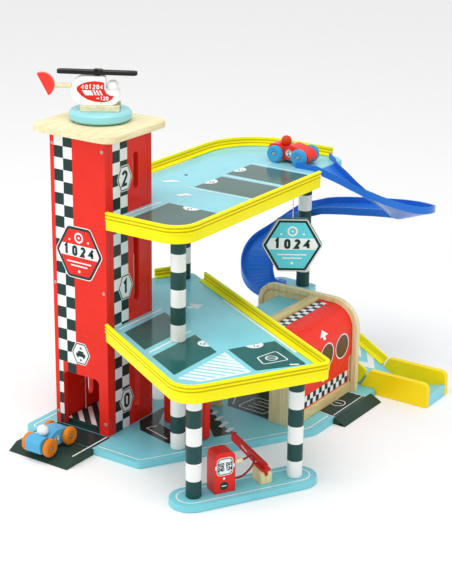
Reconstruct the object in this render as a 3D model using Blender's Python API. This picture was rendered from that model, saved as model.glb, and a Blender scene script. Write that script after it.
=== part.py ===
import math

import bmesh
import bpy
from mathutils import Matrix, Vector

# Toy garage: three levels around a lift tower, with a slide, a workshop and small vehicles.
# Lengths are millimetres here and become metres when a mesh is made.
# The origin is on the floor under the tower's front right corner.
# X runs right along the tower's front, Y to the back and Z up.
MM = 0.001
GAP = 0.3
BOARD = 9.5

# Levels
BASE_TOP = BOARD
STOREY = 166.5
DECK_1_TOP = BASE_TOP + 166.9
DECK_2_TOP = DECK_1_TOP + STOREY
DECK_1_BOTTOM = DECK_1_TOP - BOARD
DECK_2_BOTTOM = DECK_2_TOP - BOARD
ROOF_BOTTOM = 459.4
ROOF_TOP = ROOF_BOTTOM + BOARD

# Tower
TOWER_LEFT = -98.5
TOWER_BACK = 107.6
SHAFT_X = -49.25
SHAFT_Y = 53.8
DOOR_LEFT = -83.0
DOOR_RIGHT = -17.0
DOOR_HEIGHT = 86.0
DOOR_RADIUS = 8.0
SLOT_Y = 70.0
SLOT_WIDTH = 12.0
UPPER_LINTEL = 30.5
SLOTS = ((32.0, 145.0), (204.0, 312.0), (ROOF_BOTTOM - 85.9, ROOF_BOTTOM - 32.4))

# Lower deck, turned so that one side runs along DECK_U and the other along DECK_N
TURN = math.radians(60.0)
DECK_U = Vector((math.cos(TURN), math.sin(TURN)))
DECK_N = Vector((math.sin(TURN), -math.cos(TURN)))
DECK_1_END = 254.0
DECK_1_START = -186.0
DECK_1_DEPTH = 219.5

# Upper deck
DECK_2_RIGHT = 130.0
DECK_2_LEFT = -101.2
DECK_2_MOUTH_X = 103.0
DECK_2_MOUTH_Y = 389.0
DECK_2_BACK = 491.3
DECK_2_ARC = 96.3
DECK_2_ARC_Y = DECK_2_BACK - DECK_2_ARC

# Kerb section
KERB_WALL = 3.5
KERB_ABOVE = 13.5
KERB_BELOW = 13.0
KERB_FOOT = 8.0
KERB_FOOT_HEIGHT = 2.0

# Posts
POST_RADIUS = 11.0
TENON_RADIUS = 4.0
POST_1 = (208.4, -79.6)
POST_2 = (287.3, 52.8)
POST_3 = (102.1, 31.7)
POST_4 = (-46.0, 252.7)
POST_5 = (48.0, 460.0)

# Workshop
ARCH_LEFT = 29.0
ARCH_RIGHT = 212.0
ARCH_TOP = 159.0
ARCH_FRONT_RADIUS = 45.0
ARCH_BACK_RADIUS = 30.0
ARCH_NEAR_Y = 183.0
ARCH_FAR_Y = 354.3
SHEET = 1.0
GROOVE_INSET = 9.0
GROOVE_DEPTH = 3.0
SHUTTER_TRAVEL = 44.0

# Slide
CHANNEL_WIDTH = 54.0
CHANNEL_HEIGHT = 12.0
CHANNEL_WALL = 2.2
TURN_RADIUS = 40.5
UPPER_TURN_CENTRE = (206.0, 461.5)
LOWER_TURN_CENTRE = (4.5, 461.5)
SLIDE_SEAM_X = 202.0
PLATFORM_TOP = 124.0
PLATFORM_RIGHT = 68.5

# Barrier
ARM_RAISED = 2.0

# Vehicles
WHEEL_RADIUS = 14.0
WHEEL_BASE = 44.0
CAR_WIDTH = 48.0
CAR_BODY_WIDTH = 27.0
AXLE_RADIUS = 2.5

# Lift
LIFT_TOP = 14.5
LIFT_THICKNESS = 4.5
CORD_RADIUS = 0.75
SPOOL_RADIUS = 10.0
SHAFT_RADIUS = 5.0

# Helicopter, in its own axes: x to the nose, y to its left, z up from the helipad
HELIPAD_BOTTOM = ROOF_TOP + 2.1
HELIPAD_TOP = HELIPAD_BOTTOM + 13.5
HELIPAD_RADIUS = 44.5
HEADING = math.radians(33.8)

FLAT = Matrix.Identity(4)
# Frames whose first two columns hold an outline's axes and whose third is the way it is extruded
FRONTAL = Matrix(((1, 0, 0, 0), (0, 0, 1, 0), (0, 1, 0, 0), (0, 0, 0, 1)))
SIDE = Matrix(((0, 0, 1, 0), (1, 0, 0, 0), (0, 1, 0, 0), (0, 0, 0, 1)))
ACROSS_DECK = Matrix((
    (DECK_U.x, 0, DECK_N.x, 0),
    (DECK_U.y, 0, DECK_N.y, 0),
    (0, 1, 0, 0),
    (0, 0, 0, 1),
))
ALONG_DECK = Matrix((
    (DECK_N.x, 0, DECK_U.x, 0),
    (DECK_N.y, 0, DECK_U.y, 0),
    (0, 1, 0, 0),
    (0, 0, 0, 1),
))


def clear_scene():
    for old in list(bpy.data.objects):
        bpy.data.objects.remove(old, do_unlink=True)


def paint(name, colour, roughness):
    """A plain painted, moulded or bare surface."""
    material = bpy.data.materials.new(name)
    material.use_nodes = True
    shader = material.node_tree.nodes["Principled BSDF"]
    shader.inputs["Base Color"].default_value = (*colour, 1.0)
    shader.inputs["Roughness"].default_value = roughness
    shader.inputs["Metallic"].default_value = 0.0
    material.diffuse_color = (*colour, 1.0)
    return material


def add_object(name, bm, material, pivot=(0.0, 0.0, 0.0)):
    """A mesh in millimetres becomes an object whose origin is at pivot."""
    bmesh.ops.recalc_face_normals(bm, faces=bm.faces[:])
    bmesh.ops.translate(bm, vec=-Vector(pivot), verts=bm.verts[:])
    bmesh.ops.scale(bm, vec=(MM, MM, MM), verts=bm.verts[:])
    mesh = bpy.data.meshes.new(name)
    bm.to_mesh(mesh)
    bm.free()
    mesh.materials.append(material)
    mesh.shade_smooth()
    mesh.set_sharp_from_angle(angle=math.radians(35.0))
    new = bpy.data.objects.new(name, mesh)
    new.location = Vector(pivot) * MM
    bpy.context.collection.objects.link(new)
    return new


def hide_tool(tool):
    tool.hide_render = True
    tool.display_type = "WIRE"


def boolean(target, tool, operation):
    hide_tool(tool)
    modifier = target.modifiers.new(tool.name, "BOOLEAN")
    modifier.operation = operation
    modifier.object = tool
    modifier.solver = "EXACT"


def arc(centre, radius, start, end, steps):
    """Points on a circle from one angle in degrees to another, both ends included."""
    points = []
    for i in range(steps + 1):
        a = math.radians(start + (end - start) * i / steps)
        points.append((centre[0] + radius * math.cos(a), centre[1] + radius * math.sin(a)))
    return points


def circle(centre, radius, steps=20):
    return arc(centre, radius, 0.0, 360.0 * (steps - 1) / steps, steps - 1)


def rounded(corners, turn_per_step=18.0):
    """An outline from corners (x, y, radius), each with its fillet."""
    points = []
    count = len(corners)
    for i, (x, y, radius) in enumerate(corners):
        here = Vector((x, y))
        if radius <= 0.0:
            points.append((x, y))
            continue
        back = (Vector(corners[i - 1][:2]) - here).normalized()
        ahead = (Vector(corners[(i + 1) % count][:2]) - here).normalized()
        half = back.angle(ahead) / 2.0
        cut = radius / math.tan(half)
        centre = here + (back + ahead).normalized() * radius / math.sin(half)
        first = here + back * cut - centre
        turn = first.angle_signed(here + ahead * cut - centre)
        steps = max(2, round(abs(math.degrees(turn)) / turn_per_step))
        for k in range(steps + 1):
            a = -turn * k / steps
            points.append((
                centre.x + first.x * math.cos(a) - first.y * math.sin(a),
                centre.y + first.x * math.sin(a) + first.y * math.cos(a),
            ))
    return points


def slab_mesh(outline, low, high, holes=(), frame=FLAT):
    """An outline with holes, extruded from low to high along the frame's third axis."""
    bm = bmesh.new()
    for loop in (outline, *holes):
        verts = [bm.verts.new((x, y, low)) for x, y in loop]
        for i, vert in enumerate(verts):
            bm.edges.new((verts[i - 1], vert))
    bmesh.ops.triangle_fill(bm, use_beauty=True, use_dissolve=False, edges=bm.edges[:])
    bottom = bm.faces[:]
    grown = bmesh.ops.extrude_face_region(bm, geom=bottom, use_keep_orig=True)
    top = [g for g in grown["geom"] if isinstance(g, bmesh.types.BMVert)]
    bmesh.ops.translate(bm, vec=(0.0, 0.0, high - low), verts=top)
    bmesh.ops.transform(bm, matrix=frame, verts=bm.verts[:])
    return bm


def slab(name, material, outline, low, high, holes=(), frame=FLAT, pivot=(0.0, 0.0, 0.0)):
    return add_object(name, slab_mesh(outline, low, high, holes, frame), material, pivot)


def box_outline(x0, y0, x1, y1):
    return [(x0, y0), (x1, y0), (x1, y1), (x0, y1)]


def turned_mesh(profile, frame=FLAT, steps=24):
    """A profile of (radius, height) pairs turned about the frame's third axis."""
    bm = bmesh.new()
    rings = []
    for radius, height in profile:
        if radius <= 0.0:
            rings.append([bm.verts.new((0.0, 0.0, height))])
            continue
        ring = []
        for k in range(steps):
            a = math.tau * k / steps
            ring.append(bm.verts.new((radius * math.cos(a), radius * math.sin(a), height)))
        rings.append(ring)
    for lower, upper in zip(rings, rings[1:]):
        for k in range(steps):
            after = (k + 1) % steps
            if len(lower) == 1:
                bm.faces.new((lower[0], upper[after], upper[k]))
            elif len(upper) == 1:
                bm.faces.new((lower[k], lower[after], upper[0]))
            else:
                bm.faces.new((lower[k], lower[after], upper[after], upper[k]))
    bmesh.ops.transform(bm, matrix=frame, verts=bm.verts[:])
    return bm


def turned(name, material, profile, frame=FLAT, steps=24, pivot=(0.0, 0.0, 0.0)):
    return add_object(name, turned_mesh(profile, frame, steps), material, pivot)


def axis_frame(origin, axis):
    """A frame whose third axis runs along axis from origin."""
    turn = Vector((0.0, 0.0, 1.0)).rotation_difference(Vector(axis)).to_matrix().to_4x4()
    return Matrix.Translation(Vector(origin)) @ turn


def rod(radius, length, chamfer=0.0):
    """The profile of a dowel from height 0 to length."""
    if chamfer <= 0.0:
        return [(0.0, 0.0), (radius, 0.0), (radius, length), (0.0, length)]
    return [
        (0.0, 0.0),
        (radius - chamfer, 0.0),
        (radius, chamfer),
        (radius, length - chamfer),
        (radius - chamfer, length),
        (0.0, length),
    ]


def ball(radius, rings=8):
    """The profile of a ball about height 0."""
    profile = [(0.0, -radius)]
    for k in range(1, rings):
        a = math.pi * k / rings
        profile.append((radius * math.sin(a), -radius * math.cos(a)))
    return [*profile, (0.0, radius)]


def side_steps(path):
    """At each point of a path, the sideways step that keeps a sweep's width, to the right."""
    steps = []
    for i, point in enumerate(path):
        ways = []
        if i > 0:
            ways.append((Vector(point[:2]) - Vector(path[i - 1][:2])).normalized())
        if i < len(path) - 1:
            ways.append((Vector(path[i + 1][:2]) - Vector(point[:2])).normalized())
        normals = [Vector((way.y, -way.x)) for way in ways]
        middle = sum(normals, Vector((0.0, 0.0))).normalized()
        steps.append(middle / middle.dot(normals[0]))
    return steps


def swept_mesh(sections, path, inner_sides=None):
    """Closed sections of (sideways, upwards) pairs, one for each point (x, y, z) of a path.

    A thin wall names its inner sides, so that both its faces fold along the same diagonals.
    """
    bm = bmesh.new()
    rings = []
    for section, point, step in zip(sections, path, side_steps(path)):
        ring = []
        for side, up in section:
            ring.append(bm.verts.new((
                point[0] + step.x * side,
                point[1] + step.y * side,
                point[2] + up,
            )))
        rings.append(ring)
    count = len(rings[0])
    for lower, upper in zip(rings, rings[1:]):
        for k in range(count):
            after = (k + 1) % count
            if inner_sides is None:
                bm.faces.new((lower[k], lower[after], upper[after], upper[k]))
            elif k in inner_sides:
                bm.faces.new((lower[k], lower[after], upper[k]))
                bm.faces.new((lower[after], upper[after], upper[k]))
            else:
                bm.faces.new((lower[k], lower[after], upper[after]))
                bm.faces.new((lower[k], upper[after], upper[k]))
    for ring in (rings[0], rings[-1]):
        edges = [bm.edges.get((ring[k - 1], ring[k])) for k in range(count)]
        bmesh.ops.triangle_fill(bm, use_beauty=True, use_dissolve=False, edges=edges)
    return bm


def deck_point(n, u):
    """A floor point from its distances along the lower deck's two directions."""
    return tuple(n * DECK_N + u * DECK_U)


def kerb_section():
    """The kerb's closed section: sideways from the board's edge, upwards from its top."""
    return [
        (GAP, -KERB_BELOW),
        (GAP + KERB_WALL, -KERB_BELOW),
        (GAP + KERB_WALL, KERB_ABOVE),
        (GAP, KERB_ABOVE),
        (GAP, GAP + KERB_FOOT_HEIGHT + 1.0),
        (-1.0, GAP + KERB_FOOT_HEIGHT),
        (-KERB_FOOT, GAP + KERB_FOOT_HEIGHT),
        (-KERB_FOOT, GAP),
        (GAP, GAP),
    ]


def kerb(name, material, edge, height):
    """A kerb along a board's edge, walked with the board on the left."""
    path = [(x, y, height) for x, y in edge]
    section = kerb_section()
    return add_object(name, swept_mesh([section] * len(path), path), material)


def post_profile(bottom, top):
    return [
        (0.0, bottom),
        (POST_RADIUS - 0.8, bottom),
        (POST_RADIUS, bottom + 0.8),
        (POST_RADIUS, top - 0.8),
        (POST_RADIUS - 0.8, top),
        (0.0, top),
    ]


def add_post(name, material, place, bottom, top):
    frame = Matrix.Translation((place[0], place[1], 0.0))
    turned(name, material, post_profile(bottom + GAP, top - GAP), frame)


def add_through_post(name, material, place):
    """A post on both storeys whose tenon passes through the lower deck."""
    lower = post_profile(BASE_TOP + GAP, DECK_1_BOTTOM - GAP)
    upper = post_profile(DECK_1_TOP + GAP, DECK_2_BOTTOM - GAP)
    tenon = [(TENON_RADIUS, DECK_1_BOTTOM - GAP), (TENON_RADIUS, DECK_1_TOP + GAP)]
    frame = Matrix.Translation((place[0], place[1], 0.0))
    turned(name, material, [*lower[:-1], *tenon, *upper[1:]], frame)


def build_floor(turquoise, dark):
    """The base board, the separate foot plate and the two drive-on ramps."""
    right = 234.0
    step_y = 383.0
    step_x = 228.7
    back = 480.0
    front = -43.0
    outline = rounded([
        (-128.0, front, 15.0),
        (87.5, front, 8.0),
        (right, 200.0, 25.0),
        (right, step_y, 0.0),
        (step_x, step_y, 0.0),
        (step_x, back, 6.0),
        (25.0, back, 15.0),
        (25.0, 330.0, 20.0),
        (-50.0, 285.0, 20.0),
        (-72.0, 245.0, 15.0),
        (-9.0, 150.0, 10.0),
        (-128.0, 150.0, 15.0),
    ])
    slab("base_board", turquoise, outline, 0.0, BASE_TOP)

    radius = 30.0
    n_mid = 220.0
    ends = (31.0, 193.0)
    plate = []
    for angle in range(-90, 91, 15):
        a = math.radians(angle)
        plate.append(deck_point(n_mid + radius * math.sin(-a), ends[1] + radius * math.cos(a)))
    for angle in range(-90, 91, 15):
        a = math.radians(angle)
        plate.append(deck_point(n_mid + radius * math.sin(a), ends[0] - radius * math.cos(a)))
    slab("foot_plate", turquoise, plate, 0.0, BASE_TOP)

    entry = [
        (-104.5, 0.0),
        (front - GAP, 0.0),
        (front - GAP, BASE_TOP),
        (-88.0, BASE_TOP),
        (-104.5, 0.6),
    ]
    slab("entry_ramp", dark, entry, -102.0, 6.0, frame=SIDE)
    drive_on = [
        (right + GAP, 0.0),
        (255.0, 0.0),
        (255.0, 0.6),
        (238.5, BASE_TOP),
        (right + GAP, BASE_TOP),
    ]
    slab("workshop_ramp", dark, drive_on, 251.0, 365.0, frame=FRONTAL)


def build_tower(red, wood):
    """Four panels round the lift shaft, and the roof board over them."""
    low = BASE_TOP + GAP
    high = ROOF_BOTTOM - GAP
    door = rounded([
        (DOOR_LEFT, low, 0.0),
        (DOOR_RIGHT, low, 0.0),
        (DOOR_RIGHT, BASE_TOP + DOOR_HEIGHT, DOOR_RADIUS),
        (DOOR_LEFT, BASE_TOP + DOOR_HEIGHT, DOOR_RADIUS),
    ])
    front = [
        (0.0, low),
        (0.0, high),
        (TOWER_LEFT, high),
        (TOWER_LEFT, low),
        door[0],
        *door[:0:-1],
    ]
    slab("tower_front", red, front, 0.0, BOARD, frame=FRONTAL)

    openings = []
    doorways = (
        (DECK_1_TOP, DECK_1_TOP + DOOR_HEIGHT),
        (DECK_2_TOP, ROOF_BOTTOM - UPPER_LINTEL),
    )
    for level, head in doorways:
        openings.append(rounded([
            (DOOR_LEFT, level + 1.0, 0.0),
            (DOOR_RIGHT, level + 1.0, 0.0),
            (DOOR_RIGHT, head, DOOR_RADIUS),
            (DOOR_LEFT, head, DOOR_RADIUS),
        ]))
    panel = box_outline(TOWER_LEFT, low, 0.0, high)
    slab("tower_back", red, panel, TOWER_BACK - BOARD, TOWER_BACK, openings, FRONTAL)

    half = SLOT_WIDTH / 2.0
    slots = []
    for bottom, top in SLOTS:
        slots.append([
            *arc((SLOT_Y, bottom + half), half, 180.0, 360.0, 6),
            *arc((SLOT_Y, top - half), half, 0.0, 180.0, 6),
        ])
    side = box_outline(BOARD + GAP, low, TOWER_BACK - BOARD - GAP, high)
    slab("tower_left", red, side, TOWER_LEFT, TOWER_LEFT + BOARD, slots, SIDE)
    slab("tower_right", red, side, -BOARD, 0.0, slots, SIDE)

    roof = rounded([
        (-117.0, -25.5, 20.0),
        (28.4, -25.5, 20.0),
        (28.4, 115.5, 20.0),
        (-117.0, 115.5, 20.0),
    ])
    hole = circle((SHAFT_X, SHAFT_Y), SHAFT_RADIUS + GAP)
    slab("roof_board", wood, roof, ROOF_BOTTOM, ROOF_TOP, [hole])


def build_lift(pale, dark, wood, cord_white):
    """The helipad knob, the spool under it, the platform and the cord between them."""
    frame = Matrix.Translation((SHAFT_X, SHAFT_Y, 0.0))
    socket = HELIPAD_BOTTOM + 5.5
    knob = [
        (0.0, socket),
        (SHAFT_RADIUS + GAP, socket),
        (SHAFT_RADIUS + GAP, HELIPAD_BOTTOM),
        (HELIPAD_RADIUS - 3.0, HELIPAD_BOTTOM),
        (HELIPAD_RADIUS, HELIPAD_BOTTOM + 3.0),
        (HELIPAD_RADIUS, HELIPAD_TOP - 3.0),
        (HELIPAD_RADIUS - 3.0, HELIPAD_TOP),
        (0.0, HELIPAD_TOP),
    ]
    turned("helipad_disc", pale, knob, frame, 40, (SHAFT_X, SHAFT_Y, HELIPAD_BOTTOM))

    flange = SPOOL_RADIUS + 3.0
    spool_top = ROOF_BOTTOM - GAP
    cord_z = spool_top - 1.5 - 5.5
    spool = [
        (0.0, socket - GAP),
        (SHAFT_RADIUS, socket - GAP),
        (SHAFT_RADIUS, spool_top),
        (flange, spool_top),
        (flange, spool_top - 1.5),
        (SPOOL_RADIUS, spool_top - 1.5),
        (SPOOL_RADIUS, spool_top - 12.5),
        (flange, spool_top - 12.5),
        (flange, spool_top - 14.0),
        (0.0, spool_top - 14.0),
    ]
    turned("lift_spool", wood, spool, frame, 24, (SHAFT_X, SHAFT_Y, spool_top))

    left = TOWER_LEFT + BOARD + 0.8
    right = -BOARD - 0.8
    front = BOARD + 0.8
    back = TOWER_BACK - BOARD - 0.8
    notch = 2.5
    run_left = left + 2.0
    run_right = right - 2.0
    outline = [
        (left, front),
        (right, front),
        (right, SHAFT_Y - 1.5),
        (right - notch - 1.0, SHAFT_Y - 1.5),
        (right - notch - 1.0, SHAFT_Y + 1.5),
        (right, SHAFT_Y + 1.5),
        (right, back),
        (left, back),
        (left, SHAFT_Y + 1.5),
        (left + notch + 1.0, SHAFT_Y + 1.5),
        (left + notch + 1.0, SHAFT_Y - 1.5),
        (left, SHAFT_Y - 1.5),
    ]
    slab("lift_platform", dark, outline, LIFT_TOP - LIFT_THICKNESS, LIFT_TOP)

    # The cord rises at one wall, passes the spool and falls at the other wall.
    beside = SHAFT_Y - SPOOL_RADIUS - CORD_RADIUS - GAP
    low = LIFT_TOP - LIFT_THICKNESS + 1.0
    route = [
        (run_left, SHAFT_Y, low),
        (run_left, SHAFT_Y, 120.0),
        (run_left, SHAFT_Y, 230.0),
        (run_left, SHAFT_Y, 340.0),
        (run_left, SHAFT_Y, cord_z - 8.0),
        (run_left + 1.0, SHAFT_Y, cord_z - 3.0),
        (run_left + 4.0, SHAFT_Y - 1.0, cord_z),
        (SHAFT_X - 16.0, beside + 2.0, cord_z),
        (SHAFT_X, beside, cord_z),
        (SHAFT_X + 16.0, beside + 2.0, cord_z),
        (run_right - 4.0, SHAFT_Y - 1.0, cord_z),
        (run_right - 1.0, SHAFT_Y, cord_z - 3.0),
        (run_right, SHAFT_Y, cord_z - 8.0),
        (run_right, SHAFT_Y, 340.0),
        (run_right, SHAFT_Y, 230.0),
        (run_right, SHAFT_Y, 120.0),
        (run_right, SHAFT_Y, low),
    ]
    tube("lift_cord", cord_white, route, CORD_RADIUS)


def tube(name, material, points, radius):
    """A round cord along a list of points."""
    curve = bpy.data.curves.new(name, "CURVE")
    curve.dimensions = "3D"
    curve.bevel_depth = radius * MM
    curve.bevel_resolution = 2
    curve.use_fill_caps = True
    spline = curve.splines.new("POLY")
    spline.points.add(len(points) - 1)
    for knot, point in zip(spline.points, points):
        knot.co = (point[0] * MM, point[1] * MM, point[2] * MM, 1.0)
    curve.materials.append(material)
    new = bpy.data.objects.new(name, curve)
    bpy.context.collection.objects.link(new)
    return new


def smooth_route(points, steps):
    """A smooth curve through a route's own points."""
    route = []
    count = len(points)
    for i in range(count - 1):
        p0 = Vector(points[max(i - 1, 0)])
        p1 = Vector(points[i])
        p2 = Vector(points[i + 1])
        p3 = Vector(points[min(i + 2, count - 1)])
        for k in range(steps):
            t = k / steps
            even = 2.0 * p1 + (2.0 * p0 - 5.0 * p1 + 4.0 * p2 - p3) * t * t
            odd = (p2 - p0) * t + (3.0 * p1 - p0 - 3.0 * p2 + p3) * t ** 3
            route.append(tuple((even + odd) / 2.0))
    route.append(tuple(points[-1]))
    return route


def deck_1_corners():
    left_u = (TOWER_LEFT - DECK_1_START * DECK_N.x) / DECK_U.x
    return [
        (GAP, -GAP / 2.0, 0.0),
        (*deck_point(DECK_1_END, 0.0), 28.0),
        (*deck_point(DECK_1_END, DECK_1_DEPTH), 9.0),
        (*deck_point(DECK_1_START, DECK_1_DEPTH), 12.0),
        (*deck_point(DECK_1_START, left_u), 0.0),
        (TOWER_LEFT, TOWER_BACK + GAP, 0.0),
        (GAP, TOWER_BACK + GAP, 0.0),
    ]


def build_deck_1(turquoise, yellow, red):
    """The turned lower deck with its kerbs and the red panel that carries its inner part."""
    holes = [circle(place, TENON_RADIUS + GAP, 16) for place in (POST_3, POST_4)]
    outline = rounded(deck_1_corners())
    slab("deck_1_board", turquoise, outline, DECK_1_BOTTOM, DECK_1_TOP, holes)

    long_run = rounded([
        (*deck_point(4.0, 0.0), 0.0),
        (*deck_point(DECK_1_END, 0.0), 28.0),
        (*deck_point(DECK_1_END, DECK_1_DEPTH), 9.0),
        (*deck_point(-143.0, DECK_1_DEPTH), 0.0),
    ])
    kerb("deck_1_kerb", yellow, long_run, DECK_1_TOP)
    short_run = [
        deck_point(DECK_1_START, DECK_1_DEPTH - 14.0),
        deck_point(DECK_1_START, DECK_1_DEPTH - 64.0),
    ]
    kerb("deck_1_end_kerb", yellow, short_run, DECK_1_TOP)

    foot = Vector((31.2, 94.4))
    toe = Vector((124.0, 69.1))
    along = (toe - foot).normalized()
    across = Vector((-along.y, along.x))
    frame = Matrix((
        (along.x, 0, across.x, foot.x),
        (along.y, 0, across.y, foot.y),
        (0, 1, 0, 0),
        (0, 0, 0, 1),
    ))
    length = (toe - foot).length
    low = BASE_TOP + GAP
    high = DECK_1_BOTTOM - GAP
    panel = rounded([(0.0, low, 0.0), (length, low, 9.0), (length, high, 0.0), (0.0, high, 0.0)])
    slab("deck_1_support", red, panel, 0.0, BOARD, frame=frame)


def build_deck_2(turquoise, yellow):
    """The upper deck, whose back is round, with its two kerbs."""
    arc_centre = (DECK_2_LEFT + DECK_2_ARC, DECK_2_ARC_Y)
    outline = [
        (GAP, 0.0),
        *rounded_run((GAP, 0.0), (DECK_2_RIGHT, 0.0), (DECK_2_RIGHT, 362.0), 32.0),
        (DECK_2_RIGHT, 362.0),
        (DECK_2_MOUTH_X, DECK_2_MOUTH_Y),
        (DECK_2_MOUTH_X, 478.0),
        (88.0, DECK_2_BACK),
        *arc(arc_centre, DECK_2_ARC, 90.0, 180.0, 12),
        (DECK_2_LEFT, TOWER_BACK + GAP),
        (GAP, TOWER_BACK + GAP),
    ]
    slab("deck_2_board", turquoise, outline, DECK_2_BOTTOM, DECK_2_TOP)

    front = [
        (3.0, 0.0),
        *rounded_run((3.0, 0.0), (DECK_2_RIGHT, 0.0), (DECK_2_RIGHT, 360.0), 32.0),
        (DECK_2_RIGHT, 360.0),
    ]
    kerb("deck_2_front_kerb", yellow, front, DECK_2_TOP)
    back = [
        (76.0, DECK_2_BACK),
        *arc(arc_centre, DECK_2_ARC, 90.0, 180.0, 12),
        (DECK_2_LEFT, TOWER_BACK + 3.0),
    ]
    kerb("deck_2_back_kerb", yellow, back, DECK_2_TOP)


def rounded_run(before, corner, after, radius):
    """The fillet points of one corner of an open run."""
    points = rounded([(*before, 0.0), (*corner, radius), (*after, 0.0)], 15.0)
    return points[1:-1]


def build_posts(white, dark):
    add_post("post_1", white, POST_1, BASE_TOP, DECK_1_BOTTOM)
    add_post("post_2", white, POST_2, BASE_TOP, DECK_1_BOTTOM)
    add_through_post("post_3", white, POST_3)
    add_through_post("post_4", white, POST_4)
    add_post("post_5", dark, POST_5, PLATFORM_TOP, DECK_2_BOTTOM)


def build_pump(red, wood, rubber):
    """The fuel pump with a hose whose wooden nozzle is pushed into the pump's side."""
    n_low = 204.0
    n_high = 229.0
    u_low = 62.5
    u_high = 94.0
    top = 70.0
    outline = rounded([
        (u_low, BASE_TOP + GAP, 0.0),
        (u_high, BASE_TOP + GAP, 0.0),
        (u_high, top, 9.0),
        (u_low, top, 9.0),
    ])
    body = slab("pump_body", red, outline, n_low, n_high, frame=ACROSS_DECK)

    n_nozzle = 222.5
    z_nozzle = 51.0
    depth = 8.0
    nozzle_radius = 3.75
    u_axis = (DECK_U.x, DECK_U.y, 0.0)

    def at(u, z):
        x, y = deck_point(n_nozzle, u)
        return (x, y, z)

    bore = rod(nozzle_radius + GAP, depth + 3.0)
    cutter = turned("nozzle_bore", wood, bore, axis_frame(at(u_high - depth, z_nozzle), u_axis), 16)
    boolean(body, cutter, "DIFFERENCE")

    seat = at(u_high - depth + GAP, z_nozzle)
    reach = 21.0
    turned("pump_nozzle", wood, rod(nozzle_radius, reach, 0.8), axis_frame(seat, u_axis), 16, seat)

    free_end = u_high - depth + GAP + reach
    hose = [
        at(u_high + GAP, 25.0),
        at(u_high + 7.0, 24.8),
        at(u_high + 14.0, 26.3),
        at(u_high + 21.0, 30.5),
        at(u_high + 27.5, 37.0),
        at(u_high + 31.5, 44.0),
        at(u_high + 32.0, 50.0),
        at(u_high + 28.5, 54.0),
        at(u_high + 23.0, 53.6),
        at(free_end + 3.5, 51.4),
        at(free_end + GAP, z_nozzle),
    ]
    tube("pump_hose", rubber, smooth_route(hose, 3), 1.35)


def build_barrier(wood, red):
    """A slotted block that holds the tongue of an arm reaching across the lane."""
    n_low = 202.5
    n_high = 229.0
    u_low = 133.3
    u_high = 150.5
    top = 28.5
    u_mid = (u_low + u_high) / 2.0
    bevel = 4.0
    block_side = [
        (n_low, BASE_TOP + GAP),
        (n_high, BASE_TOP + GAP),
        (n_high, top - bevel),
        (n_high - bevel, top),
        (n_low, top),
    ]
    block = slab("barrier_block", wood, block_side, u_low, u_high, frame=ALONG_DECK)
    web_half = 2.1
    slot_half = 2.6
    slot_bottom = 21.0
    slot = slab(
        "barrier_slot", wood, box_outline(u_mid - slot_half, slot_bottom, u_mid + slot_half, top + 2.0),
        n_low - 2.0, n_high + 2.0, frame=ACROSS_DECK,
    )
    boolean(block, slot, "DIFFERENCE")
    pivot_n = 224.0
    pivot_z = 25.0
    pin_radius = 1.5
    pin_half = 6.0
    u_axis = (DECK_U.x, DECK_U.y, 0.0)
    x, y = deck_point(pivot_n, u_mid - pin_half - GAP)
    bore = turned(
        "pin_bore", wood, rod(pin_radius + GAP, 2.0 * (pin_half + GAP)),
        axis_frame((x, y, pivot_z), u_axis), 12,
    )
    boolean(block, bore, "DIFFERENCE")

    # The arm in its own directions: along its length, and up across it.
    raised = math.radians(ARM_RAISED)
    towards = Vector((-math.cos(raised), math.sin(raised)))
    upwards = Vector((math.sin(raised), math.cos(raised)))

    def placed(points):
        start = Vector((pivot_n, pivot_z))
        return [tuple(start + towards * along + upwards * up) for along, up in points]

    heel = -4.9
    web_low = 0.0
    web_top = 15.0
    reach = 102.0
    tongue = 3.4
    web = [
        (heel, web_low),
        *arc((0.0, 0.0), tongue, 180.0, 360.0, 10),
        (reach, web_low + 2.0),
        (reach, web_top - 2.0),
        (reach - 2.0, web_top),
        (heel, web_top),
    ]
    pivot = (*deck_point(pivot_n, u_mid), pivot_z)
    arm = slab(
        "barrier_arm", red, placed(web), u_mid - web_half, u_mid + web_half,
        frame=ALONG_DECK, pivot=pivot,
    )
    plate_low = 3.9
    plate = slab(
        "barrier_plate", red, placed(box_outline(heel, plate_low, 20.0, plate_low + 3.0)),
        u_mid - 6.6, u_mid + 6.6, frame=ALONG_DECK,
    )
    boolean(arm, plate, "UNION")
    x, y = deck_point(pivot_n, u_mid - pin_half)
    pin = turned(
        "barrier_pin", red, rod(pin_radius, 2.0 * pin_half), axis_frame((x, y, pivot_z), u_axis), 12,
    )
    boolean(arm, pin, "UNION")


def arch_outline(inset=0.0):
    """The arch's outer line, or a line inside it, as an open run from front foot to back foot."""
    front = ARCH_FRONT_RADIUS - inset
    back = ARCH_BACK_RADIUS - inset
    return [
        (ARCH_RIGHT - inset, BASE_TOP + GAP),
        *arc((ARCH_RIGHT - ARCH_FRONT_RADIUS, ARCH_TOP - ARCH_FRONT_RADIUS), front, 0.0, 90.0, 8),
        *arc((ARCH_LEFT + ARCH_BACK_RADIUS, ARCH_TOP - ARCH_BACK_RADIUS), back, 90.0, 180.0, 6),
        (ARCH_LEFT + inset, BASE_TOP + GAP),
    ]


def ribbon(run, near, far):
    """A band between two offsets outside and inside an open run in the X-Z plane."""
    outer = []
    inner = []
    for i, (x, z) in enumerate(run):
        ways = []
        if i > 0:
            ways.append((Vector(run[i]) - Vector(run[i - 1])).normalized())
        if i < len(run) - 1:
            ways.append((Vector(run[i + 1]) - Vector(run[i])).normalized())
        normals = [Vector((way.y, -way.x)) for way in ways]
        middle = sum(normals, Vector((0.0, 0.0))).normalized()
        step = middle / middle.dot(normals[0])
        outer.append((x + step.x * near, z + step.y * near))
        inner.append((x + step.x * far, z + step.y * far))
    return [*outer, *inner[::-1]]


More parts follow.
